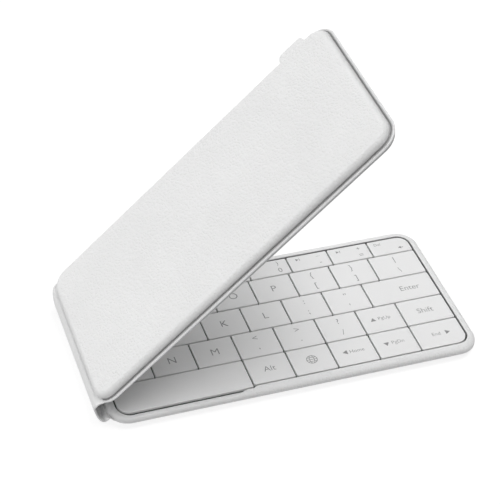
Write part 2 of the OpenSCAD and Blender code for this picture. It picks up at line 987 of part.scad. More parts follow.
base_cover();
base_frame();
base_plate();
base_membrane();
base_domes();
base_scissors();
lid_cover();
lid_frame();
lid_plate();
lid_membrane();
lid_domes();
lid_scissors();
hinge_strip();
flex_cable();
pull_tab();
battery();
main_board();
charging_port();
key_space();
key_alt();
key_globe();
key_home();
key_page_down();
key_end();
key_b();
key_n();
key_m();
key_comma();
key_period();
key_slash();
key_page_up();
key_shift();
key_h();
key_j();
key_k();
key_l();
key_semicolon();
key_quote();
key_enter();
key_y();
key_u();
key_i();
key_o();
key_p();
key_bracket_left();
key_bracket_right();
key_backslash();
key_6();
key_7();
key_8();
key_9();
key_0();
key_minus();
key_equals();
key_backspace();
lid_keys_front();
lid_keys_shift();
lid_keys_home();
lid_keys_upper();
lid_keys_top();
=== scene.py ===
"""Looks of a folding keyboard: soft covers, rolled rims, keys and legends, strip, studio.

Every piece is worked out in the frame of its own half, in millimetres, with the keys
facing up: x runs away from the hinge, y to the back row, z from the outer face to the keys.
"""

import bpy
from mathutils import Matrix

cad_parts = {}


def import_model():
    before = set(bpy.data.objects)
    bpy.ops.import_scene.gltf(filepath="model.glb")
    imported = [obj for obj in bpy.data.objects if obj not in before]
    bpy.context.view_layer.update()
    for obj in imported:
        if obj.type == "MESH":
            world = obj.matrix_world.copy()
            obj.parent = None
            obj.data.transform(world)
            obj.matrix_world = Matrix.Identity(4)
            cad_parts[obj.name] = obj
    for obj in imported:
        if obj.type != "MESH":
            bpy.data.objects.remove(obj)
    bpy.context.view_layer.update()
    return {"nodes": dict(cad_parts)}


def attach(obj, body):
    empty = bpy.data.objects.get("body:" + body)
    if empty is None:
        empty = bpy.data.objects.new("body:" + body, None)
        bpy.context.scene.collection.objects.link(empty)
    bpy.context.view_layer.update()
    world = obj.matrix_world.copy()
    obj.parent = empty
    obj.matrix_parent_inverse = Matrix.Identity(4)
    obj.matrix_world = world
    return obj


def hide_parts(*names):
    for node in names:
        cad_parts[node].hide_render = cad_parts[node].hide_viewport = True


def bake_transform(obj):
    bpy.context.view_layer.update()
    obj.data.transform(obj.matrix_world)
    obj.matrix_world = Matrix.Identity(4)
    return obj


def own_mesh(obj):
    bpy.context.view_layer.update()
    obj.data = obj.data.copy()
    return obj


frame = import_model()

import logging
import math
from dataclasses import dataclass, field
from enum import Enum
from typing import Iterable, Optional, Sequence

import bpy
import numpy as np
from mathutils import Matrix, Vector

LOG = logging.getLogger("keyboard")
Array = np.ndarray
MM = 0.001
TOP_ROW = 4
# Signs of a rectangle's corners: front left, front right, back right, back left
CORNERS = ((-1, -1), (1, -1), (1, 1), (-1, 1))


class Half(Enum):
    """The two halves of the keyboard."""

    BASE = "base"
    LID = "lid"


class Lie(Enum):
    """Where a pattern on a piece takes its coordinates from."""

    OBJECT = "object"
    ALONG = "lie"


@dataclass(frozen=True)
class Sizes:
    """The solids' sizes in millimetres, as the part's source gives them.

    One is not the solids' own: key_corner, the keycaps' corner radius, is smaller here.
    """

    key_pitch: float = 18.0
    row_pitch: float = 15.0
    top_row_depth: float = 10.0
    area_units: float = 8.24
    space_units: float = 3.06
    home_row_units: float = 1.545
    upper_row_units: float = 1.035
    top_row_units: float = 1.044
    top_row_step: float = 1.029
    space_extra: float = 0.9
    key_gap: float = 0.6
    key_corner: float = 0.5
    key_height: float = 1.3
    key_skin: float = 0.7
    key_wall: float = 0.8
    key_recess: float = 0.1
    half_t: float = 6.2
    rim_w: float = 2.7
    area_corner: float = 5.2
    flange_out: float = 1.0
    flange_t: float = 0.8
    panel_h: float = 2.8
    cover_floor: float = 0.8
    open_angle: float = 44.0
    strip_flat: float = 6.4
    closed_gap: float = 0.4
    strip_t: float = 0.9
    strip_inset: float = 7.5
    strip_sag: float = 6.0
    strip_reach_base: float = 2.5
    strip_reach_lid: float = 3.5
    strip_stub: float = 0.4
    seam_gap: float = 0.05
    flex_w: float = 12.0
    flex_t: float = 0.2
    flex_slot: float = 0.2
    plate_t: float = 0.4
    membrane_t: float = 0.2
    plate_lap: float = 1.2
    fit: float = 0.15
    port_w: float = 7.5
    port_h: float = 2.5
    port_z: float = 2.2
    port_x: float = -55.37
    port_play: float = 0.05
    link_len: float = 7.0
    link_inner_half: float = 2.9
    link_bar: float = 0.7
    link_t: float = 0.45
    link_clear: float = 0.15
    link_gap: float = 0.1
    dome_r: float = 2.5
    wire_d: float = 0.5
    wire_arm: float = 4.0
    wire_inset: float = 1.5
    wire_from: float = 2.0
    tab_w: float = 11.8
    tab_out: float = 4.0
    tab_band: float = 0.7
    tab_grip: float = 0.9
    tab_from_end: float = 17.8

    @property
    def area_w(self) -> float:
        """Width of the key area."""
        return self.area_units * self.key_pitch

    @property
    def area_d(self) -> float:
        """Depth of the key area."""
        return 4 * self.row_pitch + self.top_row_depth

    @property
    def half_w(self) -> float:
        """Width of a half, without its seam flange."""
        return self.area_w + 2 * self.rim_w

    @property
    def half_d(self) -> float:
        """Depth of a half, without its seam flange."""
        return self.area_d + 2 * self.rim_w

    @property
    def rim_corner(self) -> float:
        """Corner radius of a half's wall."""
        return self.area_corner + self.rim_w

    @property
    def flange_mid(self) -> float:
        """Height of the middle of the seam flange."""
        return self.panel_h + self.flange_t / 2

    @property
    def flange_top(self) -> float:
        """Height of the seam flange's top."""
        return self.panel_h + self.flange_t

    @property
    def key_top(self) -> float:
        """Height of the keycaps' tops."""
        return self.half_t - self.key_recess

    @property
    def key_under(self) -> float:
        """Height of the underside of a keycap's top."""
        return self.key_top - self.key_skin

    @property
    def key_bottom(self) -> float:
        """Height of a keycap's lower edge."""
        return self.key_top - self.key_height

    @property
    def membrane_top(self) -> float:
        """Height of the membrane's top."""
        return self.panel_h + self.plate_t + self.membrane_t

    @property
    def lid_dir(self) -> Array:
        """Direction along the lid, away from the hinge."""
        turn = math.radians(self.open_angle)
        return np.array([math.cos(turn), 0.0, math.sin(turn)])

    @property
    def lid_in(self) -> Array:
        """Direction out of the lid's keys."""
        turn = math.radians(self.open_angle)
        return np.array([math.sin(turn), 0.0, -math.cos(turn)])

    @property
    def lid_wall(self) -> Array:
        """Where the lid's hinge wall crosses its flange's middle plane.

        Returns:
            The place, in the shared frame.
        """
        turn = math.radians(self.open_angle) / 2
        gap = 2 * (self.half_t - self.flange_mid) + self.closed_gap
        start = np.array([-self.half_w / 2 - self.strip_flat, 0.0, self.flange_mid])
        fold = start + gap * np.array([-math.sin(turn), 0.0, math.cos(turn)])
        return fold + self.strip_flat * self.lid_dir


SIZE = Sizes()


@dataclass(frozen=True)
class Place:
    """Carries points from a half's own frame to the shared frame.

    The base's frame is the shared one. In the lid, x runs along the lid, y stays and z runs
    out of the lid's keys, which turns right into left, so faces are reversed.
    """

    half: Half

    def carry(self, points: Array) -> Array:
        """Places points.

        Args:
            points: N by 3 array in the half's frame, in millimetres.

        Returns:
            N by 3 array in the shared frame, in metres.
        """
        if self.half is Half.BASE:
            return points * MM
        along = (points[:, 0] + SIZE.half_w / 2)[:, None]
        rise = (points[:, 2] - SIZE.flange_mid)[:, None]
        placed = SIZE.lid_wall + along * SIZE.lid_dir + rise * SIZE.lid_in
        placed[:, 1] += points[:, 1]
        return placed * MM

    @property
    def normal(self) -> Array:
        """Direction out of the keys, in the shared frame."""
        return np.array([0.0, 0.0, 1.0]) if self.half is Half.BASE else SIZE.lid_in


def smoothstep(low: float, high: float, value: Array) -> Array:
    """Goes from 0 at low to 1 at high along 3t^2 - 2t^3."""
    t = np.clip((value - low) / (high - low), 0.0, 1.0)
    return t * t * (3.0 - 2.0 * t)


def unevenness(points: Array, size: float, seed: int, waves: int = 6, gain: float = 1.6) -> Array:
    """Slow hand-made unevenness, about -1 to 1: the mean of some plane waves, times a gain.

    Args:
        points: N by 3 array in millimetres.
        size: Typical wavelength in millimetres.
        seed: Chooses the waves' directions and phases.
        waves: Number of waves.
        gain: Brings the mean's usual range up to 1.

    Returns:
        One value for each point.
    """
    draw = np.random.default_rng(seed)
    ways = draw.normal(size=(waves, 3)) * (2.0 * math.pi / size)
    phases = draw.uniform(0.0, 2.0 * math.pi, waves)
    return np.sin(points @ ways.T + phases).mean(axis=1) * gain


def circle(count: int) -> Array:
    """Points of the unit circle, (cos t, sin t), count by 2."""
    turn = np.linspace(0.0, 2 * math.pi, count, endpoint=False)
    return np.c_[np.cos(turn), np.sin(turn)]


def directions(path: Array) -> Array:
    """Unit directions along a path: its gradient over the gradient's length."""
    along = np.gradient(path, axis=0)
    return along / np.linalg.norm(along, axis=1)[:, None]


def signed_volume(vertices: Array, faces: Iterable[Array]) -> float:
    """Six times the volume inside closed faces: the sum of a . (b x c) over their triangles.

    Args:
        vertices: N by 3 array.
        faces: Arrays of faces, each cut into a fan of triangles.

    Returns:
        The value, below 0 where the faces point inwards.
    """
    total = 0.0
    for block in faces:
        corners = vertices[np.asarray(block)]
        for k in range(1, corners.shape[1] - 1):
            total += np.einsum(
                "ij,ij->", corners[:, 0], np.cross(corners[:, k], corners[:, k + 1])
            )
    return total


@dataclass
class Shell:
    """Closed surfaces gathered into one piece, in a half's frame and in millimetres."""

    vertices: list = field(default_factory=list)
    faces: list = field(default_factory=list)
    lies: list = field(default_factory=list)
    count: int = 0

    def add(self, vertices: Array, blocks: Sequence[Array], lie: Optional[Array] = None) -> None:
        """Adds one closed surface, turned so that its faces point outwards.

        Args:
            vertices: N by 3 array.
            blocks: Arrays of faces, each with as many columns as its faces have corners.
            lie: N by 3 array of where each point lies on the flat material, if it bends.
        """
        if signed_volume(vertices, blocks) < 0.0:
            blocks = [block[:, ::-1] for block in blocks]
        self.vertices.append(vertices)
        self.lies.append(vertices if lie is None else lie)
        self.faces += [row for block in blocks for row in (block + self.count).tolist()]
        self.count += len(vertices)

    def build(self, name: str, place: Place, sharp: Optional[float] = None) -> bpy.types.Object:
        """Makes the piece's object at the origin, with its place in its mesh.

        Args:
            name: The piece's name.
            place: Carries the half's frame to the shared one.
            sharp: Angle in degrees above which an edge stays sharp, or None for all smooth.

        Returns:
            The object, linked into the scene.
        """
        local = np.concatenate(self.vertices)
        faces = self.faces
        if place.half is Half.LID:
            faces = [row[::-1] for row in faces]
        mesh = bpy.data.meshes.new(name)
        mesh.from_pydata(place.carry(local).tolist(), [], faces)
        mesh.shade_smooth()
        if sharp is not None:
            mesh.set_sharp_from_angle(angle=math.radians(sharp))
        lie = mesh.attributes.new(Lie.ALONG.value, "FLOAT_VECTOR", "POINT")
        flat = (np.concatenate(self.lies) * MM).astype(np.float32)
        lie.data.foreach_set("vector", flat.ravel())
        made = bpy.data.objects.new(name, mesh)
        bpy.context.scene.collection.objects.link(made)
        return made


def tube(rings: Array, closed: bool = False) -> tuple[Array, list]:
    """Skins rings of points, each ring closed on itself.

    Neighbouring rings are joined by quads. Open ends get a point at their ring's mean and a
    fan of triangles, so the surface is always closed.

    Args:
        rings: R by C by 3 array.
        closed: Whether the last ring joins the first.

    Returns:
        The vertices and the blocks of faces.
    """
    count, around = rings.shape[:2]
    index = np.arange(count * around).reshape(count, around)
    after = np.roll(index, -1, axis=1)
    if closed:
        low, high = index, np.roll(index, -1, axis=0)
        low_after, high_after = after, np.roll(after, -1, axis=0)
    else:
        low, high, low_after, high_after = index[:-1], index[1:], after[:-1], after[1:]
    quads = np.stack([low, low_after, high_after, high], axis=-1).reshape(-1, 4)
    vertices = rings.reshape(-1, 3)
    if closed:
        return vertices, [quads]
    first, last = count * around, count * around + 1
    poles = np.stack([rings[0].mean(axis=0), rings[-1].mean(axis=0)])
    fan_a = np.stack([after[0], index[0], np.full(around, first)], axis=-1)
    fan_b = np.stack([index[-1], after[-1], np.full(around, last)], axis=-1)
    return np.concatenate([vertices, poles]), [quads, np.concatenate([fan_a, fan_b])]


def box(low: Sequence[float], high: Sequence[float]) -> tuple[Array, list]:
    """A box, as a tube of two rings of four points.

    Args:
        low: Its lowest corner.
        high: Its highest corner.

    Returns:
        The vertices and the blocks of faces.
    """
    (x0, y0, z0), (x1, y1, z1) = low, high
    base = np.array([[x0, y0], [x1, y0], [x1, y1], [x0, y1]])
    return tube(np.stack([np.c_[base, np.full(4, z)] for z in (z0, z1)]))


@dataclass(frozen=True)
class Outline:
    """A rectangle with its own radius at each corner, sampled once round.

    Each sample is a point and an outward direction. On a corner the point is the corner's
    centre plus its radius along the direction; on a side the points are evenly spaced.
    The radii go front left, front right, back right, back left.
    """

    width: float
    depth: float
    radii: tuple
    centre: tuple = (0.0, 0.0)
    arc: int = 16
    side: int = 40

    def samples(self) -> tuple[Array, Array]:
        """Samples the outline once round.

        Returns:
            The points and the outward directions, each N by 2.
        """
        half = np.array([self.width / 2, self.depth / 2])
        points, normals = [], []
        for k, sign in enumerate(CORNERS):
            angle = math.radians(180.0 + 90.0 * k) + np.linspace(0, math.pi / 2, self.arc + 1)
            ways = np.c_[np.cos(angle), np.sin(angle)]
            hub = np.array(sign) * (half - self.radii[k])
            points.append(hub + self.radii[k] * ways)
            normals.append(ways)
        sides_p, sides_n = [], []
        for k in range(4):
            start, end = points[k][-1], points[(k + 1) % 4][0]
            share = np.arange(1, self.side + 1)[:, None] / (self.side + 1)
            sides_p += [points[k], start + share * (end - start)]
            sides_n += [normals[k], np.repeat(normals[k][-1:], self.side, axis=0)]
        return np.concatenate(sides_p) + np.array(self.centre), np.concatenate(sides_n)

    def ring(self, offset: float, z: float, share: float = 1.0) -> Array:
        """One ring of points.

        Args:
            offset: Distance outwards from the outline.
            z: Height of the ring.
            share: Scale about the centre, applied last.

        Returns:
            N by 3 array.
        """
        points, normals = self.samples()
        middle = np.array(self.centre)
        flat = middle + share * (points + offset * normals - middle)
        return np.c_[flat, np.full(len(flat), z)]


def half_outline(side: int = 40) -> Outline:
    """Outline of a half's wall, with so many points along each side."""
    return Outline(SIZE.half_w, SIZE.half_d, (SIZE.rim_corner,) * 4, side=side)


def plate_outline(grow: float) -> Outline:
    """Outline of the key plate, grown outwards."""
    lap = SIZE.plate_lap + grow
    return Outline(SIZE.area_w + 2 * lap, SIZE.area_d + 2 * lap, (SIZE.area_corner + lap,) * 4)


def quarter(width: float, height: float, steps: int, power: float = 2.0) -> Array:
    """A quarter of a superellipse, |x/w|^p + |y/h|^p = 1, from (0, height) to (width, 0).

    Args:
        width: Its half width w.
        height: Its half height h.
        steps: Number of points.
        power: Its power p; 2 gives an ellipse.

    Returns:
        Points, steps by 2.
    """
    turn = np.linspace(0.0, math.pi / 2, steps)
    return np.c_[
        width * np.sin(turn) ** (2.0 / power), height * np.cos(turn) ** (2.0 / power)
    ]


# ---- finishes ----

Value = object
DUST = (0.75, 0.73, 0.70, 1.0)
# Dark grey that the painted shade mixes towards, by seams, at rim feet and on rims' inner walls.
PAINTED_SHADE_GREY = (0.2, 0.2, 0.2, 1.0)


@dataclass
class Wiring:
    """Adds nodes to one node tree and joins them up."""

    tree: bpy.types.NodeTree

    @classmethod
    def of(cls, owner: bpy.types.ID) -> "Wiring":
        """Wiring of a material or a world, emptied first.

        Args:
            owner: The material or the world.

        Returns:
            The wiring.
        """
        owner.use_nodes = True
        owner.node_tree.nodes.clear()
        return cls(owner.node_tree)

    def put(self, kind: str, sockets: Optional[dict] = None, **settings: Value) -> bpy.types.Node:
        """Adds one node.

        Args:
            kind: The node's type.
            sockets: Input name or number to a value, or to an output socket to link.
            settings: Attributes of the node.

        Returns:
            The node.
        """
        node = self.tree.nodes.new(kind)
        for name, value in settings.items():
            setattr(node, name, value)
        for name, value in (sockets or {}).items():
            self.feed(node.inputs[name], value)
        return node

    def feed(self, socket: bpy.types.NodeSocket, value: Value) -> None:
        """Links an output socket to an input, or sets the input's value.

        Args:
            socket: The input.
            value: The output socket, or the value.
        """
        if isinstance(value, bpy.types.NodeSocket):
            self.tree.links.new(value, socket)
        else:
            socket.default_value = value

    def math(self, operation: str, a: Value, b: Value = 0.0) -> bpy.types.NodeSocket:
        """The result of a Math node."""
        return self.put("ShaderNodeMath", {0: a, 1: b}, operation=operation).outputs[0]

    def vector(self, operation: str, a: Value, b: Value) -> bpy.types.Node:
        """A Vector Math node."""
        return self.put("ShaderNodeVectorMath", {0: a, 1: b}, operation=operation)

    def noise(self, where: Value, scale: Value, detail: float = 2.0) -> bpy.types.Node:
        """A Noise Texture node."""
        return self.put("ShaderNodeTexNoise", {"Vector": where, "Scale": scale, "Detail": detail})

    def ramp(
        self, value: Value, low: Value, high: Value, a: Value, b: Value
    ) -> bpy.types.NodeSocket:
        """Carries value from low..high to a..b, held at the ends."""
        sockets = {"Value": value, "From Min": low, "From Max": high, "To Min": a, "To Max": b}
        return self.put("ShaderNodeMapRange", sockets).outputs["Result"]

    def mix(self, share: Value, a: Value, b: Value) -> bpy.types.NodeSocket:
        """Mixes two colours.

        Args:
            share: How much of the second colour, from 0 to 1.
            a: The first colour, or its socket.
            b: The second colour, or its socket.

        Returns:
            The mixed colour's socket.
        """
        node = self.put("ShaderNodeMix", {"Factor": share}, data_type="RGBA")
        for name, value in (("A", a), ("B", b)):
            self.feed(next(s for s in node.inputs if s.name == name and s.type == "RGBA"), value)
        return next(s for s in node.outputs if s.type == "RGBA")


class Effect(Enum):
    """The effects that finishes share."""

    GRAIN = "grain"
    DRIFT = "drift"
    DUST = "dust"


@dataclass
class Effects:
    """Shared effects: node groups whose outputs only vary colours, roughness and height.

    Attributes:
        made: The groups that have been built.
        usual: The lowest and highest usual values of a noise.
        bend_scale: Scale of the noise that bends the pebbles' creases.
        bend: How far it moves them, in metres.
        crease: Width of a crease, as a share of a pebble.
        swell: Height of the slower swell under the pebbles, whose own height is 1.
        drift_detail: Detail of the drift's noises.
        patch_scale: Scale of the noise that gathers the dust.
        patch: Its values where specks begin and where they are largest.
        speck: Largest radius of a speck, as a share of its cell.
    """

    made: dict = field(default_factory=dict)
    usual: tuple = (0.3, 0.7)
    bend_scale: float = 500.0
    bend: float = 0.0006
    crease: float = 0.25
    swell: float = 0.35
    drift_detail: float = 4.0
    patch_scale: float = 60.0
    patch: tuple = (0.45, 0.75)
    speck: float = 0.14

    def group(self, name: str, inputs: dict, outputs: Sequence[str]) -> tuple:
        """Starts a node group with a vector input, number inputs and number outputs.

        Args:
            name: The group's name.
            inputs: Name to default value.
            outputs: Names.

        Returns:
            The group's wiring, its input node and its output node.
        """
        tree = bpy.data.node_groups.new(name, "ShaderNodeTree")
        tree.interface.new_socket("Vector", in_out="INPUT", socket_type="NodeSocketVector")
        for label, value in inputs.items():
            socket = tree.interface.new_socket(label, in_out="INPUT", socket_type="NodeSocketFloat")
            socket.default_value = value
        for label in outputs:
            tree.interface.new_socket(label, in_out="OUTPUT", socket_type="NodeSocketFloat")
        wiring = Wiring(tree)
        return wiring, wiring.put("NodeGroupInput"), wiring.put("NodeGroupOutput")

    def grain(self) -> bpy.types.NodeTree:
        """Pebbled grain: cells whose edges are low, over a slower swell.

        Returns:
            Group with Height, from 0 in the creases to a little over 1 on the pebbles.
        """
        wiring, start, end = self.group("PebbleGrain", {"Pebbles": 640.0}, ("Height",))
        where = start.outputs["Vector"]
        noise = wiring.noise(where, self.bend_scale)
        shift = wiring.vector("MULTIPLY", noise.outputs["Color"], (self.bend,) * 3).outputs[0]
        moved = wiring.vector("ADD", where, shift).outputs[0]
        cells = wiring.put(
            "ShaderNodeTexVoronoi",
            {"Vector": moved, "Scale": start.outputs["Pebbles"]},
            feature="DISTANCE_TO_EDGE",
        )
        pebble = wiring.ramp(cells.outputs["Distance"], 0.0, self.crease, 0.0, 1.0)
        swell = wiring.ramp(noise.outputs["Fac"], *self.usual, 0.0, self.swell)
        wiring.feed(end.inputs["Height"], wiring.math("ADD", pebble, swell))
        return wiring.tree

    def drift(self) -> bpy.types.NodeTree:
        """Slow drift of tone, and fine mottling.

        Returns:
            Group with Slow and Fine, each from 0 to 1.
        """
        wiring, start, end = self.group(
            "ToneDrift", {"Broad": 30.0, "Close": 900.0}, ("Slow", "Fine")
        )
        for scale, label in (("Broad", "Slow"), ("Close", "Fine")):
            noise = wiring.noise(start.outputs["Vector"], start.outputs[scale], self.drift_detail)
            wiring.feed(end.inputs[label], wiring.ramp(noise.outputs["Fac"], *self.usual, 0.0, 1.0))
        return wiring.tree

    def dust(self) -> bpy.types.NodeTree:
        """Sparse specks of dust, more of them where the slow noise is high.

        Returns:
            Group with Specks, 0 or 1.
        """
        wiring, start, end = self.group("DustSpecks", {"Density": 1200.0}, ("Specks",))
        where = start.outputs["Vector"]
        cells = wiring.put(
            "ShaderNodeTexVoronoi", {"Vector": where, "Scale": start.outputs["Density"]}
        )
        noise = wiring.noise(where, self.patch_scale)
        radius = wiring.ramp(noise.outputs["Fac"], *self.patch, 0.0, self.speck)
        near = wiring.math("LESS_THAN", cells.outputs["Distance"], radius)
        wiring.feed(end.inputs["Specks"], near)
        return wiring.tree

    def use(
        self, effect: Effect, wiring: Wiring, where: Value, values: Optional[dict] = None
    ) -> bpy.types.Node:
        """Places an effect in a material, and builds its group the first time.

        Args:
            effect: Which effect.
            wiring: The material's wiring.
            where: Socket of the coordinates that the effect reads.
            values: The material's own values for the group's inputs.

        Returns:
            The group's node.
        """
        if effect not in self.made:
            build = {Effect.GRAIN: self.grain, Effect.DRIFT: self.drift, Effect.DUST: self.dust}
            self.made[effect] = build[effect]()
        sockets = {"Vector": where, **(values or {})}
        return wiring.put("ShaderNodeGroup", sockets, node_tree=self.made[effect])


EFFECTS = Effects()


@dataclass(frozen=True)
class Finish:
    """What every finish has: a name, a colour, a roughness and how much they vary.

    Attributes:
        name: The material's name.
        colour: Linear colour.
        shade: Linear colour that the slow drift goes towards.
        rough: Mean roughness.
        spread: How much the roughness varies.
        relief: Height of the surface's pattern, in metres.
        dusty: How much the dust lightens.
        gloss: The shader's Specular IOR Level.
    """

    name: str
    colour: tuple
    shade: tuple
    rough: float = 0.5
    spread: float = 0.1
    relief: float = 0.00001
    dusty: float = 0.0
    gloss: float = 0.5

    def coordinates(self, wiring: Wiring, lie: Lie) -> bpy.types.NodeSocket:
        """Where the pattern is read from: the Object coordinates or the piece's own attribute.

        Args:
            wiring: The material's wiring.
            lie: Which of the two.

        Returns:
            The coordinates' socket.
        """
        if lie is Lie.OBJECT:
            return wiring.put("ShaderNodeTexCoord").outputs["Object"]
        node = wiring.put("ShaderNodeAttribute", attribute_name=lie.value)
        return node.outputs["Vector"]

    def make(self, lie: Lie = Lie.ALONG) -> bpy.types.Material:
        """The finish's material, made once for each kind of coordinates.

        Args:
            lie: Where its pattern takes its coordinates from.

        Returns:
            The material.
        """
        name = f"{self.name}_{lie.value}"
        if name in bpy.data.materials:
            return bpy.data.materials[name]
        material = bpy.data.materials.new(name)
        wiring = Wiring.of(material)
        where = self.coordinates(wiring, lie)
        drift = EFFECTS.use(Effect.DRIFT, wiring, where)
        bump = wiring.put(
            "ShaderNodeBump",
            {"Height": self.height(wiring, where, drift), "Distance": self.relief, "Strength": 1.0},
        )
        least, most = self.rough - self.spread, self.rough + self.spread
        sockets = {
            "Base Color": self.tint(wiring, where, self.base(wiring, where, drift)),
            "Roughness": wiring.ramp(drift.outputs["Fine"], 0.0, 1.0, least, most),
            "Normal": bump.outputs[0],
            **self.constants(),
        }
        shader = wiring.put("ShaderNodeBsdfPrincipled", sockets)
        wiring.put("ShaderNodeOutputMaterial", {"Surface": shader.outputs[0]})
        return material

    def base(self, wiring: Wiring, where: Value, drift: bpy.types.Node) -> bpy.types.NodeSocket:
        """The drifting colour, with dust on it where the finish is dusty.

        Args:
            wiring: The material's wiring.
            where: Socket of the coordinates.
            drift: The drift's node.

        Returns:
            The colour's socket.
        """
        colour = wiring.mix(drift.outputs["Slow"], (*self.colour, 1.0), (*self.shade, 1.0))
        if self.dusty:
            dust = EFFECTS.use(Effect.DUST, wiring, where)
            share = wiring.math("MULTIPLY", dust.outputs["Specks"], self.dusty)
            colour = wiring.mix(share, colour, DUST)
        return colour

    def tint(self, wiring: Wiring, where: Value, colour: Value) -> bpy.types.NodeSocket:
        """The finish's last say on its colour."""
        return colour

    def height(self, wiring: Wiring, where: Value, drift: bpy.types.Node) -> bpy.types.NodeSocket:
        """The pattern that the bump reads."""
        return drift.outputs["Fine"]

    def constants(self) -> dict:
        """The shader's unvarying sockets, by name."""
        return {"Specular IOR Level": self.gloss}


@dataclass(frozen=True)
class Leather(Finish):
    """Soft imitation leather: pebbled grain, a little sheen, worn where edges are touched.

    Attributes:
        worn: How much of the grain's height is lost where the piece is worn.
        seam: How strongly painted shade darkens the colour near the seams and on the rims.
        pebbles: Scale of the grain.
        sheen: Weight of the sheen.
        sheen_rough: Roughness of the sheen.
    """

    gloss: float = 0.3
    worn: float = 0.35
    seam: float = 0.55
    pebbles: float = 640.0
    sheen: float = 0.08
    sheen_rough: float = 0.5

    def tint(self, wiring: Wiring, where: Value, colour: Value) -> bpy.types.NodeSocket:
        """Darkens the colour with painted shade towards the pressed seam and on the rims.

        Args:
            wiring: The material's wiring.
            where: Socket of the coordinates.
            colour: The colour's socket.

        Returns:
            The darkened colour's socket.
        """
        # Painted shade: mixes the colour towards dark grey by the shade attribute that the piece
        # records.
        deep = wiring.put("ShaderNodeAttribute", attribute_name="seam").outputs["Fac"]
        share = wiring.math("MULTIPLY", deep, self.seam)
        return wiring.mix(share, colour, PAINTED_SHADE_GREY)

    def height(self, wiring: Wiring, where: Value, drift: bpy.types.Node) -> bpy.types.NodeSocket:
        """Pebbles, lower where the piece is worn.

        Args:
            wiring: The material's wiring.
            where: Socket of the coordinates.
            drift: The drift's node, which leather doesn't read here.

        Returns:
            The height's socket.
        """
        grain = EFFECTS.use(Effect.GRAIN, wiring, where, {"Pebbles": self.pebbles})
        worn = wiring.put("ShaderNodeAttribute", attribute_name="worn").outputs["Fac"]
        keep = wiring.ramp(worn, 0.0, 1.0, 1.0, 1.0 - self.worn)
        return wiring.math("MULTIPLY", grain.outputs["Height"], keep)

    def constants(self) -> dict:
        """A low gloss and a soft sheen."""
        sheen = {"Sheen Weight": self.sheen, "Sheen Roughness": self.sheen_rough}
        return {**super().constants(), **sheen}


@dataclass(frozen=True)
class Plastic(Finish):
    """Moulded plastic."""

    gloss: float = 0.4


@dataclass(frozen=True)
class Rubber(Finish):
    """Translucent silicone.

    Attributes:
        inside: Share of the light that passes in.
        reach: How far it passes, in metres.
    """

    inside: float = 0.3
    reach: float = 0.001

    def constants(self) -> dict:
        """Light under the surface."""
        light = {"Subsurface Weight": self.inside, "Subsurface Radius": (self.reach,) * 3}
        return {**super().constants(), **light}


@dataclass(frozen=True)
class Metal(Finish):
    """Bare or brushed metal, whose pattern is a noise drawn out along x.

    Attributes:
        stretch: Factor on x that draws the noise out.
        lines: Scale of the noise.
        detail: Its detail.
    """

    stretch: float = 0.02
    lines: float = 6000.0
    detail: float = 3.0

    def height(self, wiring: Wiring, where: Value, drift: bpy.types.Node) -> bpy.types.NodeSocket:
        """Fine lines along x."""
        drawn_out = wiring.vector("MULTIPLY", where, (self.stretch, 1.0, 1.0)).outputs[0]
        return wiring.noise(drawn_out, self.lines, self.detail).outputs["Fac"]

    def constants(self) -> dict:
        """All metal."""
        return {**super().constants(), "Metallic": 1.0}


@dataclass(frozen=True)
class Split(Finish):
    """A finish of two colours, parted by a place along one axis of the Object coordinates.

    Attributes:
        axis: The axis's letter.
        at: Where the second colour begins, in metres.
        beyond: The second colour.
    """

    gloss: float = 0.4
    axis: str = "Z"
    at: float = 0.0
    beyond: tuple = (0.0, 0.0, 0.0)

    def tint(self, wiring: Wiring, where: Value, colour: Value) -> bpy.types.NodeSocket:
        """Changes to the second colour past the place.

        Args:
            wiring: The material's wiring.
            where: Socket of the coordinates.
            colour: The first colour's socket.

        Returns:
            The colour's socket.
        """
        parts = wiring.put("ShaderNodeSeparateXYZ", {0: where})
        past = wiring.math("GREATER_THAN", parts.outputs[self.axis], self.at)
        return wiring.mix(past, colour, (*self.beyond, 1.0))


LEATHER = Leather("leather", (0.80, 0.80, 0.80), (0.77, 0.77, 0.77), 0.58, 0.07, 0.00011, 0.2)
RIM = Leather("rim_leather", (0.80, 0.80, 0.80), (0.77, 0.77, 0.77), 0.55, 0.07, 0.00008, 0.2)
KEY = Plastic("key_plastic", (0.80, 0.80, 0.80), (0.78, 0.78, 0.78), 0.5, 0.05, 0.000006, 0.1)
INK = Plastic("ink", (0.22, 0.22, 0.222), (0.27, 0.27, 0.272), 0.45, 0.06, 0.000002)
DOME = Rubber("silicone", (0.66, 0.66, 0.64), (0.6, 0.6, 0.58), 0.35, 0.08)
STEEL = Metal("steel", (0.55, 0.55, 0.56), (0.48, 0.48, 0.49), 0.32, 0.08, 0.000004)
FILM = Plastic("printed_film", (0.10, 0.16, 0.12), (0.12, 0.18, 0.14), 0.3, 0.06, 0.000004)
FLEX = Plastic("amber_flex", (0.45, 0.18, 0.03), (0.40, 0.15, 0.02), 0.28, 0.06)
FOIL = Split(
    "cell_foil", (0.1, 0.1, 0.1), (0.13, 0.13, 0.13), 0.35, 0.1, 0.00004,
    axis="X", at=-0.0162, beyond=(0.50, 0.51, 0.53),
)
BOARD = Split(
    "solder_mask", (0.012, 0.07, 0.03), (0.015, 0.09, 0.04), 0.3, 0.08, 0.000006,
    axis="Z", at=0.00151, beyond=(0.015, 0.015, 0.017),
)
SHELL_STEEL = Metal("port_steel", (0.62, 0.62, 0.64), (0.52, 0.52, 0.54), 0.25, 0.08, 0.000004)


def finish_piece(
    made: bpy.types.Object, finish: Finish, replaced: Sequence[str] = ()
) -> None:
    """Gives a piece its finish, hides the nodes that it stands for and logs it.

    Args:
        made: The piece.
        finish: Its finish.
        replaced: Names of the nodes that it stands for.
    """
    made.data.materials.clear()
    made.data.materials.append(finish.make())
    if replaced:
        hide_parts(*replaced)
    LOG.info("built %s with %d vertices", made.name, len(made.data.vertices))


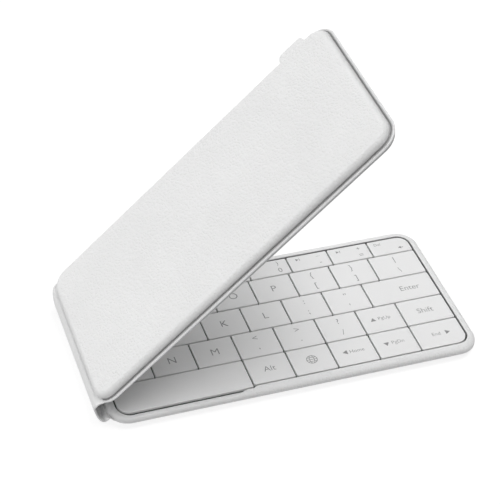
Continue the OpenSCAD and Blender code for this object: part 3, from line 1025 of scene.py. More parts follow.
def record(made: bpy.types.Object, label: str, value: Array) -> None:
    """Writes one number for each point of a piece, for its material to read."""
    values = made.data.attributes.new(label, "FLOAT", "POINT")
    values.data.foreach_set("value", value.astype(np.float32))


# ---- covers and rims ----


@dataclass
class PaddedCover:
    """The padded leather cover of one half, with its seam flange and the bay inside it.

    Attributes:
        place: The half's place.
        crown: How far the outer face swells at its middle, as 1 - share^crown_power.
        edge: Radius of the roll round the outer face.
        roll_power: Power of the roll's superellipse.
        inset: How far the panel lies inside the half's wall, but for the hinge side.
        tuck: How far the wall draws in above the roll.
        tuck_steps: Shares of the tuck, each with its height above the roll.
        groove: How far out of the panel the seam's groove reaches.
        groove_z: Height of the groove's inner end.
        groove_round: Rounding of the groove's corners.
        lip: Depth of the flange's rounded lip.
        bay_size: Width and depth of the bay in the base.
        bay_middle: Middle of the bay.
        bay_corner: Its corner radius.
        bay_shares: Scales of the rings that close the bay's floor.
        seat_shares: Scales of the rings that close the lid's seat.
        port_radii: Corner radii of the port's opening, low and high.
        port_over: How far the opening reaches over the flange.
        port_ends: Where the opening starts along y, and how far it passes the wall.
        wear_reach: How far the wear comes in from the wall.
        wear_uneven: Share of the wear that is uneven.
        wear_size: Size of its unevenness.
    """

    place: Place
    crown: float = 0.0
    crown_power: int = 6
    edge: float = 2.3
    roll_power: float = 1.75
    inset: float = 0.6
    tuck: float = 0.45
    tuck_steps: tuple = ((0.1, 0.2), (0.35, 0.4), (0.75, 0.6), (1.0, 0.75))
    groove: float = 0.4
    groove_z: float = 3.3
    groove_round: float = 0.1
    lip: float = 0.35
    bay_size: tuple = (110.6, 40.6)
    bay_middle: tuple = (-15.06, 14.5)
    bay_corner: float = 1.5
    bay_shares: tuple = (0.5, 0.05)
    seat_shares: tuple = (0.6, 0.05)
    port_radii: tuple = (1.0, 0.2)
    port_over: float = 0.2
    port_ends: tuple = (34.2, 3.0)
    wear_reach: float = 4.0
    wear_uneven: float = 0.4
    wear_size: float = 25.0

    def outer_rings(self, outline: Outline) -> list:
        """Rings from the middle of the outer face to the top of the flange.

        Args:
            outline: The half's wall.

        Returns:
            List of N by 3 arrays.
        """
        panel = Outline(
            SIZE.half_w - self.inset, SIZE.half_d - 2 * self.inset,
            (SIZE.rim_corner - self.inset,) * 4, (-self.inset / 2, 0.0),
        )
        rings = [
            panel.ring(-self.edge, -self.crown * (1.0 - share**self.crown_power), share)
            for share in np.linspace(0.02, 1.0, 26)
        ]
        roll = quarter(self.edge, self.edge, 16, self.roll_power)[1:]
        rings += [panel.ring(out - self.edge, self.edge - drop) for out, drop in roll]
        rings += [panel.ring(-share * self.tuck, self.edge + up) for share, up in self.tuck_steps]
        middle, thin, soft = SIZE.flange_mid, SIZE.flange_t / 2, self.groove_round
        start = SIZE.flange_out - self.lip
        rings += [
            panel.ring(-self.tuck, self.groove_z - soft),
            panel.ring(soft - self.tuck, self.groove_z),
            panel.ring(self.groove - 1.5 * soft, self.groove_z),
            panel.ring(self.groove, self.groove_z - soft),
            panel.ring(self.groove + 0.2 * soft, SIZE.panel_h + 0.8 * soft),
            panel.ring(self.groove + soft, SIZE.panel_h),
            outline.ring(start, middle - thin),
        ]
        lip = quarter(self.lip, thin, 8)
        rings += [outline.ring(start + out, middle - up) for out, up in lip[1:]]
        rings += [outline.ring(start + out, middle + up) for out, up in lip[::-1][1:]]
        return rings

    def inner_rings(self) -> list:
        """Rings from the plate's seat to the floor of the bay, or the middle of the seat.

        Returns:
            List of N by 3 arrays.
        """
        seat, high, floor = plate_outline(SIZE.fit), SIZE.panel_h, SIZE.cover_floor
        rings = [seat.ring(0.0, SIZE.flange_top), seat.ring(0.0, high)]
        if self.place.half is Half.LID:
            return rings + [seat.ring(0.0, high, share) for share in self.seat_shares]
        bay = Outline(*self.bay_size, (self.bay_corner,) * 4, self.bay_middle)
        rings += [bay.ring(0.0, high), bay.ring(0.0, floor)]
        return rings + [bay.ring(0.0, floor, share) for share in self.bay_shares]

    def build(self) -> None:
        """Makes the cover, standing for the cover's node."""
        name = self.place.half.value
        rings = np.array(self.outer_rings(half_outline()) + self.inner_rings())
        shell = Shell()
        shell.add(*tube(rings))
        made = shell.build(f"{name}_padded_cover", self.place, sharp=50.0)
        self.wear_and_painted_shade(made, np.concatenate(shell.vertices))
        if self.place.half is Half.BASE:
            self.open_port(made)
        finish_piece(made, LEATHER, (f"{name}_cover",))
        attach(made, name)

    def open_port(self, made: bpy.types.Object) -> None:
        """Cuts the charging port's opening through the back wall and the seam flange.

        Args:
            made: The base's cover.
        """
        low = SIZE.port_z - SIZE.port_h / 2 - SIZE.port_play
        high = SIZE.flange_top + self.port_over
        width = 2 * (SIZE.port_w / 2 + SIZE.fit)
        radii = np.repeat(self.port_radii, 2)
        centre = (SIZE.port_x, (low + high) / 2)
        mouth = Outline(width, high - low, tuple(radii), centre, arc=8, side=2)
        start, past = self.port_ends
        rings = np.array([mouth.ring(0.0, y) for y in (start, SIZE.half_d / 2 + past)])
        cutter = Shell()
        cutter.add(*tube(rings[..., [0, 2, 1]]))
        tool = cutter.build("port_cutter", self.place)
        cut = made.modifiers.new("port", "BOOLEAN")
        cut.object = tool
        cut.operation = "DIFFERENCE"
        cut.solver = "EXACT"
        graph = bpy.context.evaluated_depsgraph_get()
        mesh = bpy.data.meshes.new_from_object(made.evaluated_get(graph))
        made.modifiers.clear()
        made.data = mesh
        bpy.data.objects.remove(tool)

    def wear_and_painted_shade(self, made: bpy.types.Object, local: Array) -> None:
        """Writes how worn each point is, and how much painted shade it takes towards the seam.

        Wear rises over its reach up to the wall, unevenly. Painted shade rises with the
        height, up to the groove, and stops at the groove's outer end.

        Args:
            made: The cover.
            local: Its points in the half's frame.
        """
        half = np.array([SIZE.half_w, SIZE.half_d]) / 2 - SIZE.rim_corner
        over = np.maximum(np.abs(local[:, :2]) - half, 0.0)
        far = np.hypot(over[:, 0], over[:, 1]) - SIZE.rim_corner
        waves = unevenness(local, self.wear_size, seed=5)
        uneven = 1.0 - self.wear_uneven + self.wear_uneven * waves
        record(made, "worn", smoothstep(-self.wear_reach, 0.0, far) * uneven)
        # Painted shade: darker colour up the wall towards the seam's groove.
        seam = smoothstep(0.0, self.groove_z, local[:, 2]) * (far < self.groove)
        record(made, "seam", seam)


@dataclass
class KeyRim:
    """The rolled leather rim round the keys of one half.

    Attributes:
        place: The half's place.
        roll_w: Width of the outer roll.
        roll_h: Height of the outer roll.
        roll_power: Power of the roll's superellipse.
        shy: How far the rim stops short of the flange's edge.
        lift: Gap between the rim and the flange.
        foot: Bevel at the rim's outer foot.
        inner_foot: Height of the inner wall's upright part.
        inner_round: Radius of the inner top edge.
        shade: Painted shade at the outer foot, which fades over shade_h.
        inner_shade: Painted shade on the inner wall, which fades over inner_shade_w.
        shift_ends: Where, from the inner wall, the shift before the space bar starts to
            fade and ends.
        shift_fade: The same along the rim, from the bar's end.
        relief_w: Width of the scoop in the rim's edge before the space bar.
        relief_drop: Its depth.
        relief_power: The power by which the depth falls.
        relief_end: How far before the bar's end the scoop stops.
        relief_run: Length of the scoop's run-out.
        relief_ends: Depths under the rim's top where the scoop starts and is whole.
        least: Smallest width at which there is a scoop.
    """

    place: Place
    roll_w: float = 2.5
    roll_h: float = 2.3
    roll_power: float = 2.1
    shy: float = 0.0
    lift: float = 0.02
    foot: float = 0.1
    inner_foot: float = 1.0
    inner_round: float = 0.45
    shade: float = 0.3
    shade_h: float = 2.0
    inner_shade: float = 1.6
    inner_shade_w: float = 0.3
    shift_ends: tuple = (0.3, 1.3)
    shift_fade: tuple = (-0.2, 1.6)
    relief_w: float = 2.1
    relief_drop: float = 1.0
    relief_power: float = 1.6
    relief_end: float = 1.8
    relief_run: float = 7.0
    relief_ends: tuple = (2.2, 0.6)
    least: float = 0.02

    def profile(self) -> Array:
        """The rim's closed section.

        Returns:
            N by 2 array: distance outwards from the half's wall, and height.
        """
        inner = -SIZE.rim_w + SIZE.key_gap / 2
        outer = SIZE.flange_out - self.shy
        low, top = SIZE.flange_top + self.lift, SIZE.half_t
        roll = quarter(self.roll_w, self.roll_h, 14, self.roll_power)
        turn = quarter(self.inner_round, self.inner_round, 7)[::-1]
        points = [(inner, low), (inner, low + self.inner_foot)]
        points += [
            (inner + self.inner_round - out, top - self.inner_round + up) for out, up in turn
        ]
        points += [(outer - self.roll_w + out, top - self.roll_h + up) for out, up in roll]
        points += [(outer, low + self.foot), (outer - self.foot, low)]
        return np.array(points)

    def relieve(self, rings: Array, inward: Array, normals: Array) -> Array:
        """Moves the inner wall out in front of the space bar and scoops the rim's edge there.

        The scoop's drop falls from the wall outwards as 1 - (d/w)^p, with p the relief's
        power, and its width w runs out along the rim before the bar's end.

        Args:
            rings: Points, one ring for each point of the profile.
            inward: Share of the shift for each ring.
            normals: Outward direction of each sample.

        Returns:
            The moved rings.
        """
        end = -SIZE.area_w / 2 + SIZE.space_units * SIZE.key_pitch - SIZE.key_gap / 2
        front = np.clip(-normals[:, 1], 0.0, 1.0)
        fade, full = (end + step for step in self.shift_fade)
        before = 1.0 - smoothstep(fade, full, rings[0, :, 0])
        rings[:, :, 1] -= SIZE.space_extra * inward[:, None] * (front * before)[None, :]
        stop = end - self.relief_end
        along = smoothstep(stop - self.relief_run, stop, rings[:, :, 0])
        width = self.relief_w * (1.0 - along)
        behind = np.linalg.norm(rings[:, :, :2] - rings[:1, :, :2], axis=2)
        share = np.clip(behind / np.maximum(width, self.least / 2), 0.0, 1.0)
        deep, shallow = (SIZE.half_t - step for step in self.relief_ends)
        high = smoothstep(deep, shallow, rings[:, :, 2])
        drop = self.relief_drop * (1.0 - share**self.relief_power)
        rings[:, :, 2] -= drop * high * (front * (width > self.least))
        return rings

    def build(self) -> None:
        """Makes the rim, standing for the frame's node."""
        name = self.place.half.value
        outline = half_outline(side=150)
        profile = self.profile()
        rings = np.array([outline.ring(out, z) for out, z in profile])
        from_wall = profile[:, 0] - profile[0, 0]
        inward = 1.0 - smoothstep(*self.shift_ends, from_wall)
        rings = self.relieve(rings, inward, outline.samples()[1])
        shell = Shell()
        shell.add(*tube(rings, closed=True))
        made = shell.build(f"{name}_rolled_rim", self.place, sharp=60.0)
        # Painted shade: darker colour at the outer foot above the flange and on the inner wall by
        # the keys.
        up = np.concatenate(shell.vertices)[:, 2] - SIZE.flange_top
        outside = self.shade * (1.0 - smoothstep(0.0, self.shade_h, up))
        inside = self.inner_shade * (1.0 - smoothstep(0.0, self.inner_shade_w, from_wall))
        record(made, "seam", np.maximum(outside, np.repeat(inside, rings.shape[1])))
        finish_piece(made, RIM, (f"{name}_frame",))
        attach(made, name)


# ---- keys ----


@dataclass(frozen=True)
class Row:
    """One row of keys.

    Attributes:
        number: Place of the row, from the front.
        first: First boundary from the hinge side, in key pitches.
        count: Number of keys.
        pitch: Width of the keys between the first and the last, in key pitches.
    """

    number: int
    first: float
    count: int
    pitch: float = 1.0

    def boundary(self, i: int) -> float:
        """Place of one of the row's boundaries.

        Args:
            i: Its number, from the hinge side.

        Returns:
            Its place along x.
        """
        if i == 0:
            units = 0.0
        elif i == self.count:
            units = SIZE.area_units
        else:
            units = self.first + (i - 1) * self.pitch
        return -SIZE.area_w / 2 + units * SIZE.key_pitch

    @property
    def depth(self) -> float:
        """Depth of the row."""
        return SIZE.top_row_depth if self.number == TOP_ROW else SIZE.row_pitch


@dataclass(frozen=True)
class KeyCell:
    """The place and the size of one key."""

    row: Row
    i: int

    @property
    def middle(self) -> Array:
        """Middle of the key's cell.

        Returns:
            Its x and y.
        """
        x = (self.row.boundary(self.i) + self.row.boundary(self.i + 1)) / 2
        front = self.row.number * SIZE.row_pitch - SIZE.area_d / 2
        return np.array([x, front + self.row.depth / 2])

    @property
    def width(self) -> float:
        """Width of the keycap."""
        return self.row.boundary(self.i + 1) - self.row.boundary(self.i) - SIZE.key_gap

    @property
    def extra(self) -> float:
        """How much further to the front the keycap reaches."""
        return SIZE.space_extra if self.row.number == 0 and self.i == 0 else 0.0

    @property
    def depth(self) -> float:
        """Depth of the keycap."""
        return self.row.depth - SIZE.key_gap + self.extra

    @property
    def outline(self) -> Outline:
        """The keycap's outline: a key in a corner follows the key area's corner.

        Returns:
            The outline.
        """
        big, small = SIZE.area_corner - SIZE.key_gap / 2, SIZE.key_corner
        first, last = self.i == 0, self.i == self.row.count - 1
        front, back = self.row.number == 0, self.row.number == TOP_ROW
        radii = tuple(
            big if side and end else small
            for side, end in ((first, front), (last, front), (last, back), (first, back))
        )
        centre = (self.middle[0], self.middle[1] - self.extra / 2)
        return Outline(self.width, self.depth, radii, centre, arc=8, side=3)


@dataclass
class Keycap:
    """One hollow keycap with the clips for its links.

    Attributes:
        cell: The key's place and size.
        edge: Radius of the cap's top edge.
        shares: Scales of the rings on its flat top.
        foot: Bevel of its lower edge.
        clip_t: Thickness of a clip.
        clip_h: Height of a clip.
        clip_clear: Gap between a clip and its link's end.
        bite: How far a clip reaches into the cap.
    """

    cell: KeyCell
    edge: float = 0.3
    shares: tuple = (0.05, 0.5, 0.9, 1.0)
    foot: float = 0.05
    clip_t: float = 0.4
    clip_h: float = 0.9
    clip_clear: float = 0.15
    bite: float = 0.05

    def add_to(self, shell: Shell) -> None:
        """Adds the cap and its clips to a shell.

        Args:
            shell: The shell.
        """
        outline = self.cell.outline
        top, low, under = SIZE.key_top, SIZE.key_bottom, SIZE.key_under
        wall = -SIZE.key_wall
        rings = [outline.ring(-self.edge, top, share) for share in self.shares]
        rings += [
            outline.ring(-self.edge + out, top - self.edge + up)
            for out, up in quarter(self.edge, self.edge, 7)[1:]
        ]
        rings += [
            outline.ring(0.0, low + self.foot),
            outline.ring(-self.foot, low),
            outline.ring(wall, low),
            outline.ring(wall, under),
            outline.ring(wall, under, self.shares[0]),
        ]
        shell.add(*tube(np.array(rings)))
        x, y = self.cell.middle
        inner = SIZE.link_inner_half
        wide = inner + 2 * SIZE.link_bar + SIZE.link_clear
        reach = SIZE.link_len / 2 + self.clip_clear
        for side, end in CORNERS:
            xs = sorted((x + side * inner, x + side * wide))
            ys = sorted((y + end * reach, y + end * (reach + self.clip_t)))
            low_z, high_z = under - self.clip_h, under + self.bite
            shell.add(*box((xs[0], ys[0], low_z), (xs[1], ys[1], high_z)))


class Sign(Enum):
    """Signs that are drawn rather than set in type."""

    UP = "up"
    DOWN = "down"
    LEFT = "left"
    RIGHT = "right"
    GLOBE = "globe"
    ARROW = "arrow"
    PLAY = "play"


@dataclass(frozen=True)
class Mark:
    """One mark on a key: type or a sign.

    Attributes:
        what: The words, or the sign.
        size: Type size, or the sign's width, in millimetres.
        across: Place across the key from its middle, in millimetres, seen from the front.
        up: Place towards the back from its middle, in millimetres.
    """

    what: object
    size: float = 5.1
    across: float = 0.0
    up: float = 0.0


def stamp(points: Array, triangles: Array, low: float, high: float) -> tuple[Array, list]:
    """Raises flat triangles to a closed solid between two heights.

    Args:
        points: N by 2 array.
        triangles: M by 3 array of indices.
        low: Height of the underside.
        high: Height of the top.

    Returns:
        The vertices and the blocks of faces.
    """
    a, b, c = (points[triangles[:, k]] for k in range(3))
    turn = (b[:, 0] - a[:, 0]) * (c[:, 1] - a[:, 1]) - (b[:, 1] - a[:, 1]) * (c[:, 0] - a[:, 0])
    triangles = np.where(turn[:, None] < 0.0, triangles[:, ::-1], triangles)
    count = len(points)
    edges = np.concatenate([triangles[:, [0, 1]], triangles[:, [1, 2]], triangles[:, [2, 0]]])
    forward = edges[:, 0] * count + edges[:, 1]
    backward = edges[:, 1] * count + edges[:, 0]
    rim = edges[~np.isin(forward, backward)]
    sides = np.stack([rim[:, 0], rim[:, 1], rim[:, 1] + count, rim[:, 0] + count], axis=-1)
    vertices = np.concatenate([np.c_[points, np.full(count, z)] for z in (low, high)])
    flat = np.concatenate([triangles + count, triangles[:, ::-1]])
    return vertices, [flat, sides]


def type_set(
    words: str, size: float, thin: float = 0.008, round_to: int = 5
) -> tuple[Array, Array]:
    """Sets words in type, centred on the origin.

    Args:
        words: What to set.
        size: Type size in millimetres.
        thin: How much the strokes are thinned, as a share of the size.
        round_to: Decimals to which points are rounded before doubles are merged.

    Returns:
        Points, N by 2, and triangles.
    """
    curve = bpy.data.curves.new("type", "FONT")
    curve.body = words
    curve.size = size
    curve.resolution_u = 4
    curve.offset = -thin * size
    holder = bpy.data.objects.new("type", curve)
    mesh = bpy.data.meshes.new_from_object(holder)
    mesh.calc_loop_triangles()
    points = np.zeros(len(mesh.vertices) * 3)
    mesh.vertices.foreach_get("co", points)
    triangles = np.zeros(len(mesh.loop_triangles) * 3, dtype=np.int64)
    mesh.loop_triangles.foreach_get("vertices", triangles)
    bpy.data.objects.remove(holder)
    bpy.data.curves.remove(curve)
    bpy.data.meshes.remove(mesh)
    flat = points.reshape(-1, 3)[:, :2]
    unique, where = np.unique(flat.round(round_to), axis=0, return_inverse=True)
    triangles = where.ravel()[triangles].reshape(-1, 3)
    apart = (triangles != np.roll(triangles, 1, axis=1)).all(axis=1)
    middle = (unique.min(axis=0) + unique.max(axis=0)) / 2
    return unique - middle, triangles[apart]


def fan(points: Array) -> tuple[Array, Array]:
    """A convex outline, and its triangles from its first point."""
    index = np.arange(1, len(points) - 1)
    return points, np.stack([np.zeros_like(index), index, index + 1], axis=-1)


def bar(width: float, height: float, up: float = 0.0) -> tuple[Array, Array]:
    """A flat bar about a place on the y axis, and its triangles."""
    return fan(np.array(CORNERS) * (width / 2, height / 2) + (0.0, up))


def hoop(width: float, height: float, line: float) -> tuple[Array, Array]:
    """A drawn ellipse, (w cos t, h sin t) / 2, of even line.

    Args:
        width: Its width w.
        height: Its height h.
        line: Width of its line.

    Returns:
        Points, N by 2, and triangles.
    """
    way = circle(40)
    count = len(way)
    points = [way * (width / 2 - inset, height / 2 - inset) for inset in (0.0, line)]
    a = np.arange(count)
    b = np.roll(a, -1)
    near, far = np.stack([a, b, b + count], -1), np.stack([a, b + count, a + count], -1)
    return np.concatenate(points), np.concatenate([near, far])


@dataclass(frozen=True)
class Drawing:
    """The drawn signs, with their proportions as shares of a sign's width.

    Attributes:
        line: Width of the globe's lines.
        meridian: Width of its inner ellipse.
        parallel: Length and place of its upper and lower lines.
        tip: Corners of an arrow's head that points right.
        stem: Height and place of an arrow's stem.
        stop: Width and place of the bar beside the play sign.
    """

    line: float = 0.055
    meridian: float = 0.48
    parallel: tuple = (0.86, 0.24)
    tip: tuple = ((0.5, 0.0), (-0.35, 0.5), (-0.35, -0.5))
    stem: tuple = (0.2, 0.5)
    stop: tuple = (0.14, 0.75)

    def globe(self, size: float) -> list:
        """Two ellipses and three level lines.

        Args:
            size: The globe's width in millimetres.

        Returns:
            List of points and triangles.
        """
        line = self.line * size
        length, up = np.array(self.parallel) * size
        return [
            hoop(size, size, line),
            hoop(self.meridian * size, size, line),
            bar(size, line),
            bar(length, line, up),
            bar(length, line, -up),
        ]

    def head(self, sign: Sign, size: float) -> tuple[Array, Array]:
        """An arrow's head, turned by quarter turns from pointing right.

        Args:
            sign: Which sign.
            size: Its width in millimetres.

        Returns:
            Points, N by 2, and triangles.
        """
        turns = {Sign.UP: 1, Sign.LEFT: 2, Sign.ARROW: 2, Sign.DOWN: 3}
        turn = turns.get(sign, 0) * math.pi / 2
        spin = np.array([[math.cos(turn), math.sin(turn)], [-math.sin(turn), math.cos(turn)]])
        return fan(np.array(self.tip) * size @ spin)

    def shapes(self, sign: Sign, size: float) -> list:
        """The flat shapes of a sign.

        Args:
            sign: Which sign.
            size: Its width in millimetres.

        Returns:
            List of points and triangles.
        """
        if sign is Sign.GLOBE:
            return self.globe(size)
        shapes = [self.head(sign, size)]
        if sign is Sign.ARROW:
            points, triangles = bar(size, self.stem[0] * size)
            shapes.append((points + (self.stem[1] * size, 0.0), triangles))
        if sign is Sign.PLAY:
            points, triangles = bar(self.stop[0] * size, size)
            shapes.append((points + (self.stop[1] * size, 0.0), triangles))
        return shapes


DRAWING = Drawing()


@dataclass
class Legend:
    """The printed marks of one key.

    Attributes:
        cell: The key's place and size.
        marks: Its marks.
        half: The half that it is on.
        sunk: How far the ink reaches into the cap.
        proud: How far it stands out of it.
        layer: How much higher each further shape of a sign lies.
    """

    cell: KeyCell
    marks: Sequence[Mark]
    half: Half
    sunk: float = 0.01
    proud: float = 0.012
    layer: float = 0.001

    def add_to(self, shell: Shell) -> None:
        """Adds the marks, each a thin closed solid on the keycap's top.

        Args:
            shell: The shell.
        """
        hand = 1.0 if self.half is Half.BASE else -1.0
        middle = self.cell.middle - (0.0, self.cell.extra / 2)
        low, high = SIZE.key_top - self.sunk, SIZE.key_top + self.proud
        for mark in self.marks:
            if isinstance(mark.what, Sign):
                shapes = DRAWING.shapes(mark.what, mark.size)
            else:
                shapes = [type_set(mark.what, mark.size)]
            for k, (points, triangles) in enumerate(shapes):
                placed = (points + (mark.across, mark.up)) * (hand, 1.0) + middle
                shell.add(*stamp(placed, triangles, low, high + self.layer * k))


def pair(upper: str, lower: str, size: float = 4.4, apart: float = 3.3) -> tuple:
    """Marks of a key with one sign above another, each so far from its middle."""
    return (Mark(upper, size, up=apart), Mark(lower, size, up=-apart))


def digit(lower: str, upper: str, across: float = 4.6) -> tuple:
    """Marks of a key in the top row: the digit at the front right, its sign behind it."""
    front = Mark(lower, size=3.9, across=across, up=-2.0)
    return (front, Mark(upper, size=3.3, across=across, up=2.2))


def corner(what: object, size: float) -> Mark:
    """A small mark at the back left of a key in the top row."""
    return Mark(what, size, across=-5.0, up=2.2)


def letters(text: str) -> list:
    """A single centred letter for each key."""
    return [(Mark(letter),) for letter in text]


def word(text: str, size: float = 4.1, across: float = 0.0) -> tuple:
    """A word on the key's middle line."""
    return (Mark(text, size, across),)


def beside(sign: Sign, text: str, side: float = -1.0) -> tuple:
    """A small word with a solid triangle before it, or after it where side is 1."""
    triangle = Mark(sign, size=2.4, across=3.6 * side)
    return (triangle, Mark(text, size=2.6, across=-1.4 * side))


BASE_ROWS = (
    Row(0, SIZE.space_units, 6),
    Row(1, SIZE.space_units - 2, 8),
    Row(2, SIZE.home_row_units, 7),
    Row(3, SIZE.upper_row_units, 8),
    Row(TOP_ROW, SIZE.top_row_units, 8, SIZE.top_row_step),
)
LID_ROWS = (
    Row(0, SIZE.space_units, 6),
    Row(1, SIZE.space_units - 2, 6),
    Row(2, SIZE.home_row_units, 6),
    Row(3, SIZE.upper_row_units, 7),
    Row(TOP_ROW, SIZE.top_row_units, 7, SIZE.top_row_step),
)
BASE_NAMES = (
    ("space", "alt", "globe", "home", "page_down", "end"),
    ("b", "n", "m", "comma", "period", "slash", "page_up", "shift"),
    ("h", "j", "k", "l", "semicolon", "quote", "enter"),
    ("y", "u", "i", "o", "p", "bracket_left", "bracket_right", "backslash"),
    ("6", "7", "8", "9", "0", "minus", "equals", "backspace"),
)
LID_NAMES = ("front", "shift", "home", "upper", "top")
BASE_MARKS = (
    (
        (), word("Alt"), (Mark(Sign.GLOBE, 4.6),), beside(Sign.LEFT, "Home"),
        beside(Sign.DOWN, "PgDn"), beside(Sign.RIGHT, "End", 1.0),
    ),
    (
        *letters("BNM"), pair("<", ","), pair(">", "."), pair("?", "/"),
        beside(Sign.UP, "PgUp"), word("Shift"),
    ),
    (*letters("HJKL"), pair(":", ";"), pair('"', "'"), word("Enter", across=4.0)),
    (*letters("YUIOP"), pair("{", "["), pair("}", "]"), pair("|", "\\")),
    (
        digit("6", "^"), digit("7", "&"), digit("8", "*"), digit("9", "("), digit("0", ")"),
        (*digit("-", "_"), corner(Sign.PLAY, 1.5)),
        (*digit("=", "+"), corner(Sign.PLAY, 1.5)),
        (corner("Del", 2.2), Mark(Sign.ARROW, size=1.6, across=4.0, up=-2.0)),
    ),
)
LID_MARKS = (
    ((), word("Alt"), word("Opt"), (Mark(Sign.GLOBE, 4.6),), word("Ctrl"), word("Fn")),
    (*letters("VCXZ"), pair("|", "\\"), word("Shift")),
    (*letters("GFDSA"), word("Caps")),
    (*letters("TREWQ"), pair("~", "`"), word("Tab")),
    (
        digit("5", "%"), digit("4", "$"), digit("3", "#"), digit("2", "@"), digit("1", "!"),
        digit("`", "~"), word("Esc", 2.6),
    ),
)


@dataclass
class KeyMechanism:
    """What lies under one key: the rubber dome, two crossed links and a long key's wire.

    Attributes:
        cell: The key's place and size.
        button_r: Radius of the dome's button.
        stem: Height of the dome's hollow.
        foot: Height of its foot.
    """

    cell: KeyCell
    button_r: float = 1.3
    stem: float = 1.05
    foot: float = 0.28

    def dome_rings(self) -> Array:
        """The dome, from its hollow underside to its button: a profile turned about z.

        Returns:
            Rings, R by C by 3.
        """
        wide, button, stem = SIZE.dome_r, self.button_r, self.stem
        top = SIZE.key_under - SIZE.membrane_top - SIZE.seam_gap
        profile = (
            (0.05, stem), (0.6, stem), (0.9, stem - 0.05), (wide - 0.7, 0.1), (wide - 0.65, 0.0),
            (wide, 0.0), (wide, self.foot), (wide - 0.2, 0.4), (button + 0.15, 1.25),
            (button, 1.45), (button - 0.02, top - 0.05), (button - 0.15, top), (0.4, top),
        )
        way = circle(24)
        return np.array(
            [
                np.c_[way * r + self.cell.middle, np.full(len(way), SIZE.membrane_top + up)]
                for r, up in profile
            ]
        )

    def link(self, half_inside: float, lean: float) -> tuple[Array, list]:
        """A rectangular link, leant about the x axis through the mechanism's middle.

        Args:
            half_inside: Half its clear width.
            lean: Its angle in radians.

        Returns:
            The vertices and the blocks of faces.
        """
        bar_w, thick = SIZE.link_bar, SIZE.link_t / 2
        inner = np.array([half_inside, SIZE.link_len / 2 - bar_w])
        rings = []
        for sign in np.array(CORNERS):
            near, far = sign * inner, sign * (inner + bar_w)
            rings.append([(*near, -thick), (*far, -thick), (*far, thick), (*near, thick)])
        rings = np.array(rings)
        y, z = rings[..., 1].copy(), rings[..., 2].copy()
        rings[..., 1] = y * math.cos(lean) - z * math.sin(lean)
        rings[..., 2] = y * math.sin(lean) + z * math.cos(lean)
        rings += (*self.cell.middle, (SIZE.key_under + SIZE.membrane_top) / 2)
        return tube(rings, closed=True)

    def wire(self) -> Optional[Array]:
        """The stabiliser wire under a long key: a circle carried along four points.

        Returns:
            Rings, R by C by 3, or None for a shorter key or one in the top row.
        """
        cell = self.cell
        if cell.width <= SIZE.wire_from * SIZE.key_pitch or cell.row.number == TOP_ROW:
            return None
        half = cell.width / 2 - SIZE.key_wall - SIZE.wire_inset
        thick = SIZE.wire_d / 2
        front = -(cell.row.depth - SIZE.key_gap) / 2 + SIZE.key_wall + SIZE.wire_d
        back = front + SIZE.wire_arm
        high = SIZE.key_under - SIZE.link_gap - thick
        low = SIZE.membrane_top + SIZE.link_gap + thick
        path = np.array(
            [(-half, back, low), (-half, front, high), (half, front, high), (half, back, low)]
        )
        path[:, :2] += cell.middle
        along = directions(path)
        side = np.cross(along, (0.0, 0.0, 1.0))
        side /= np.linalg.norm(side, axis=1)[:, None]
        rise = np.cross(side, along)
        way = circle(8)[None]
        return path[:, None] + thick * (way[..., :1] * side[:, None] + way[..., 1:] * rise[:, None])

    def add_to(self, shell: Shell) -> None:
        """Adds the mechanism to a shell.

        Args:
            shell: The shell.
        """
        shell.add(*tube(self.dome_rings()))
        rise = SIZE.key_under - SIZE.membrane_top - SIZE.link_t - 2 * SIZE.link_gap
        lean = math.asin(rise / (SIZE.link_len - SIZE.link_t))
        outer_half = SIZE.link_inner_half + SIZE.link_bar + SIZE.link_clear
        shell.add(*self.link(SIZE.link_inner_half, lean))
        shell.add(*self.link(outer_half, -lean))
        wire = self.wire()
        if wire is not None:
            shell.add(*tube(wire))


@dataclass
class KeyField:
    """All the keys of one half, with their legends and mechanisms.

    Attributes:
        place: The half's place.
        keep: Share of its height that a mechanism keeps under a pressed key; not used.
    """

    place: Place
    keep: float = 0.48

    def mechanism(
        self, name: str, cells: Sequence[KeyCell], nodes: Sequence[str]
    ) -> None:
        """Makes the mechanisms under one moving body.

        Args:
            name: The body's short name.
            cells: Its keys.
            nodes: Names of the nodes that the piece stands for.
        """
        shell = Shell()
        for cell in cells:
            KeyMechanism(cell).add_to(shell)
        made = shell.build(f"mechanism_{name}", self.place, sharp=35.0)
        finish_piece(made, DOME, nodes)
        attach(made, self.place.half.value)
        x, y = cells[0].middle
        anchor = self.place.carry(np.array([[x, y, SIZE.membrane_top]]))[0]
        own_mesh(made)

    def key_piece(self, name: str, cells: Sequence[KeyCell], marks: Sequence, node: str) -> None:
        """Makes the keycaps and legends that ride on one body.

        Args:
            name: The body's short name.
            cells: Its keys.
            marks: The marks of each.
            node: The body, and the node that the keycaps stand for.
        """
        caps, ink = Shell(), Shell()
        for cell, these in zip(cells, marks):
            Keycap(cell).add_to(caps)
            Legend(cell, these, self.place.half).add_to(ink)
        made = caps.build(f"cap_{name}", self.place, sharp=40.0)
        finish_piece(made, KEY, (node,))
        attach(made, node)
        if ink.count:
            legend = ink.build(f"legend_{name}", self.place, sharp=30.0)
            finish_piece(legend, INK)
            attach(legend, node)

    def build(self) -> None:
        """Makes the base's keys one by one, or the lid's row by row."""
        if self.place.half is Half.BASE:
            for row, names, marks in zip(BASE_ROWS, BASE_NAMES, BASE_MARKS):
                for i, name in enumerate(names):
                    cell, node = KeyCell(row, i), f"key_{name}"
                    self.key_piece(name, [cell], [marks[i]], node)
                    nodes = ("base_domes", "base_scissors") if name == "space" else ()
                    self.mechanism(name, [cell], nodes)
        else:
            for row, name, marks in zip(LID_ROWS, LID_NAMES, LID_MARKS):
                cells = [KeyCell(row, i) for i in range(row.count)]
                node = f"lid_keys_{name}"
                self.key_piece(f"lid_{name}", cells, marks, node)
                nodes = ("lid_domes", "lid_scissors") if name == "front" else ()
                self.mechanism(f"lid_{name}", cells, nodes)


# ---- hinge strip, cable and pull tab ----


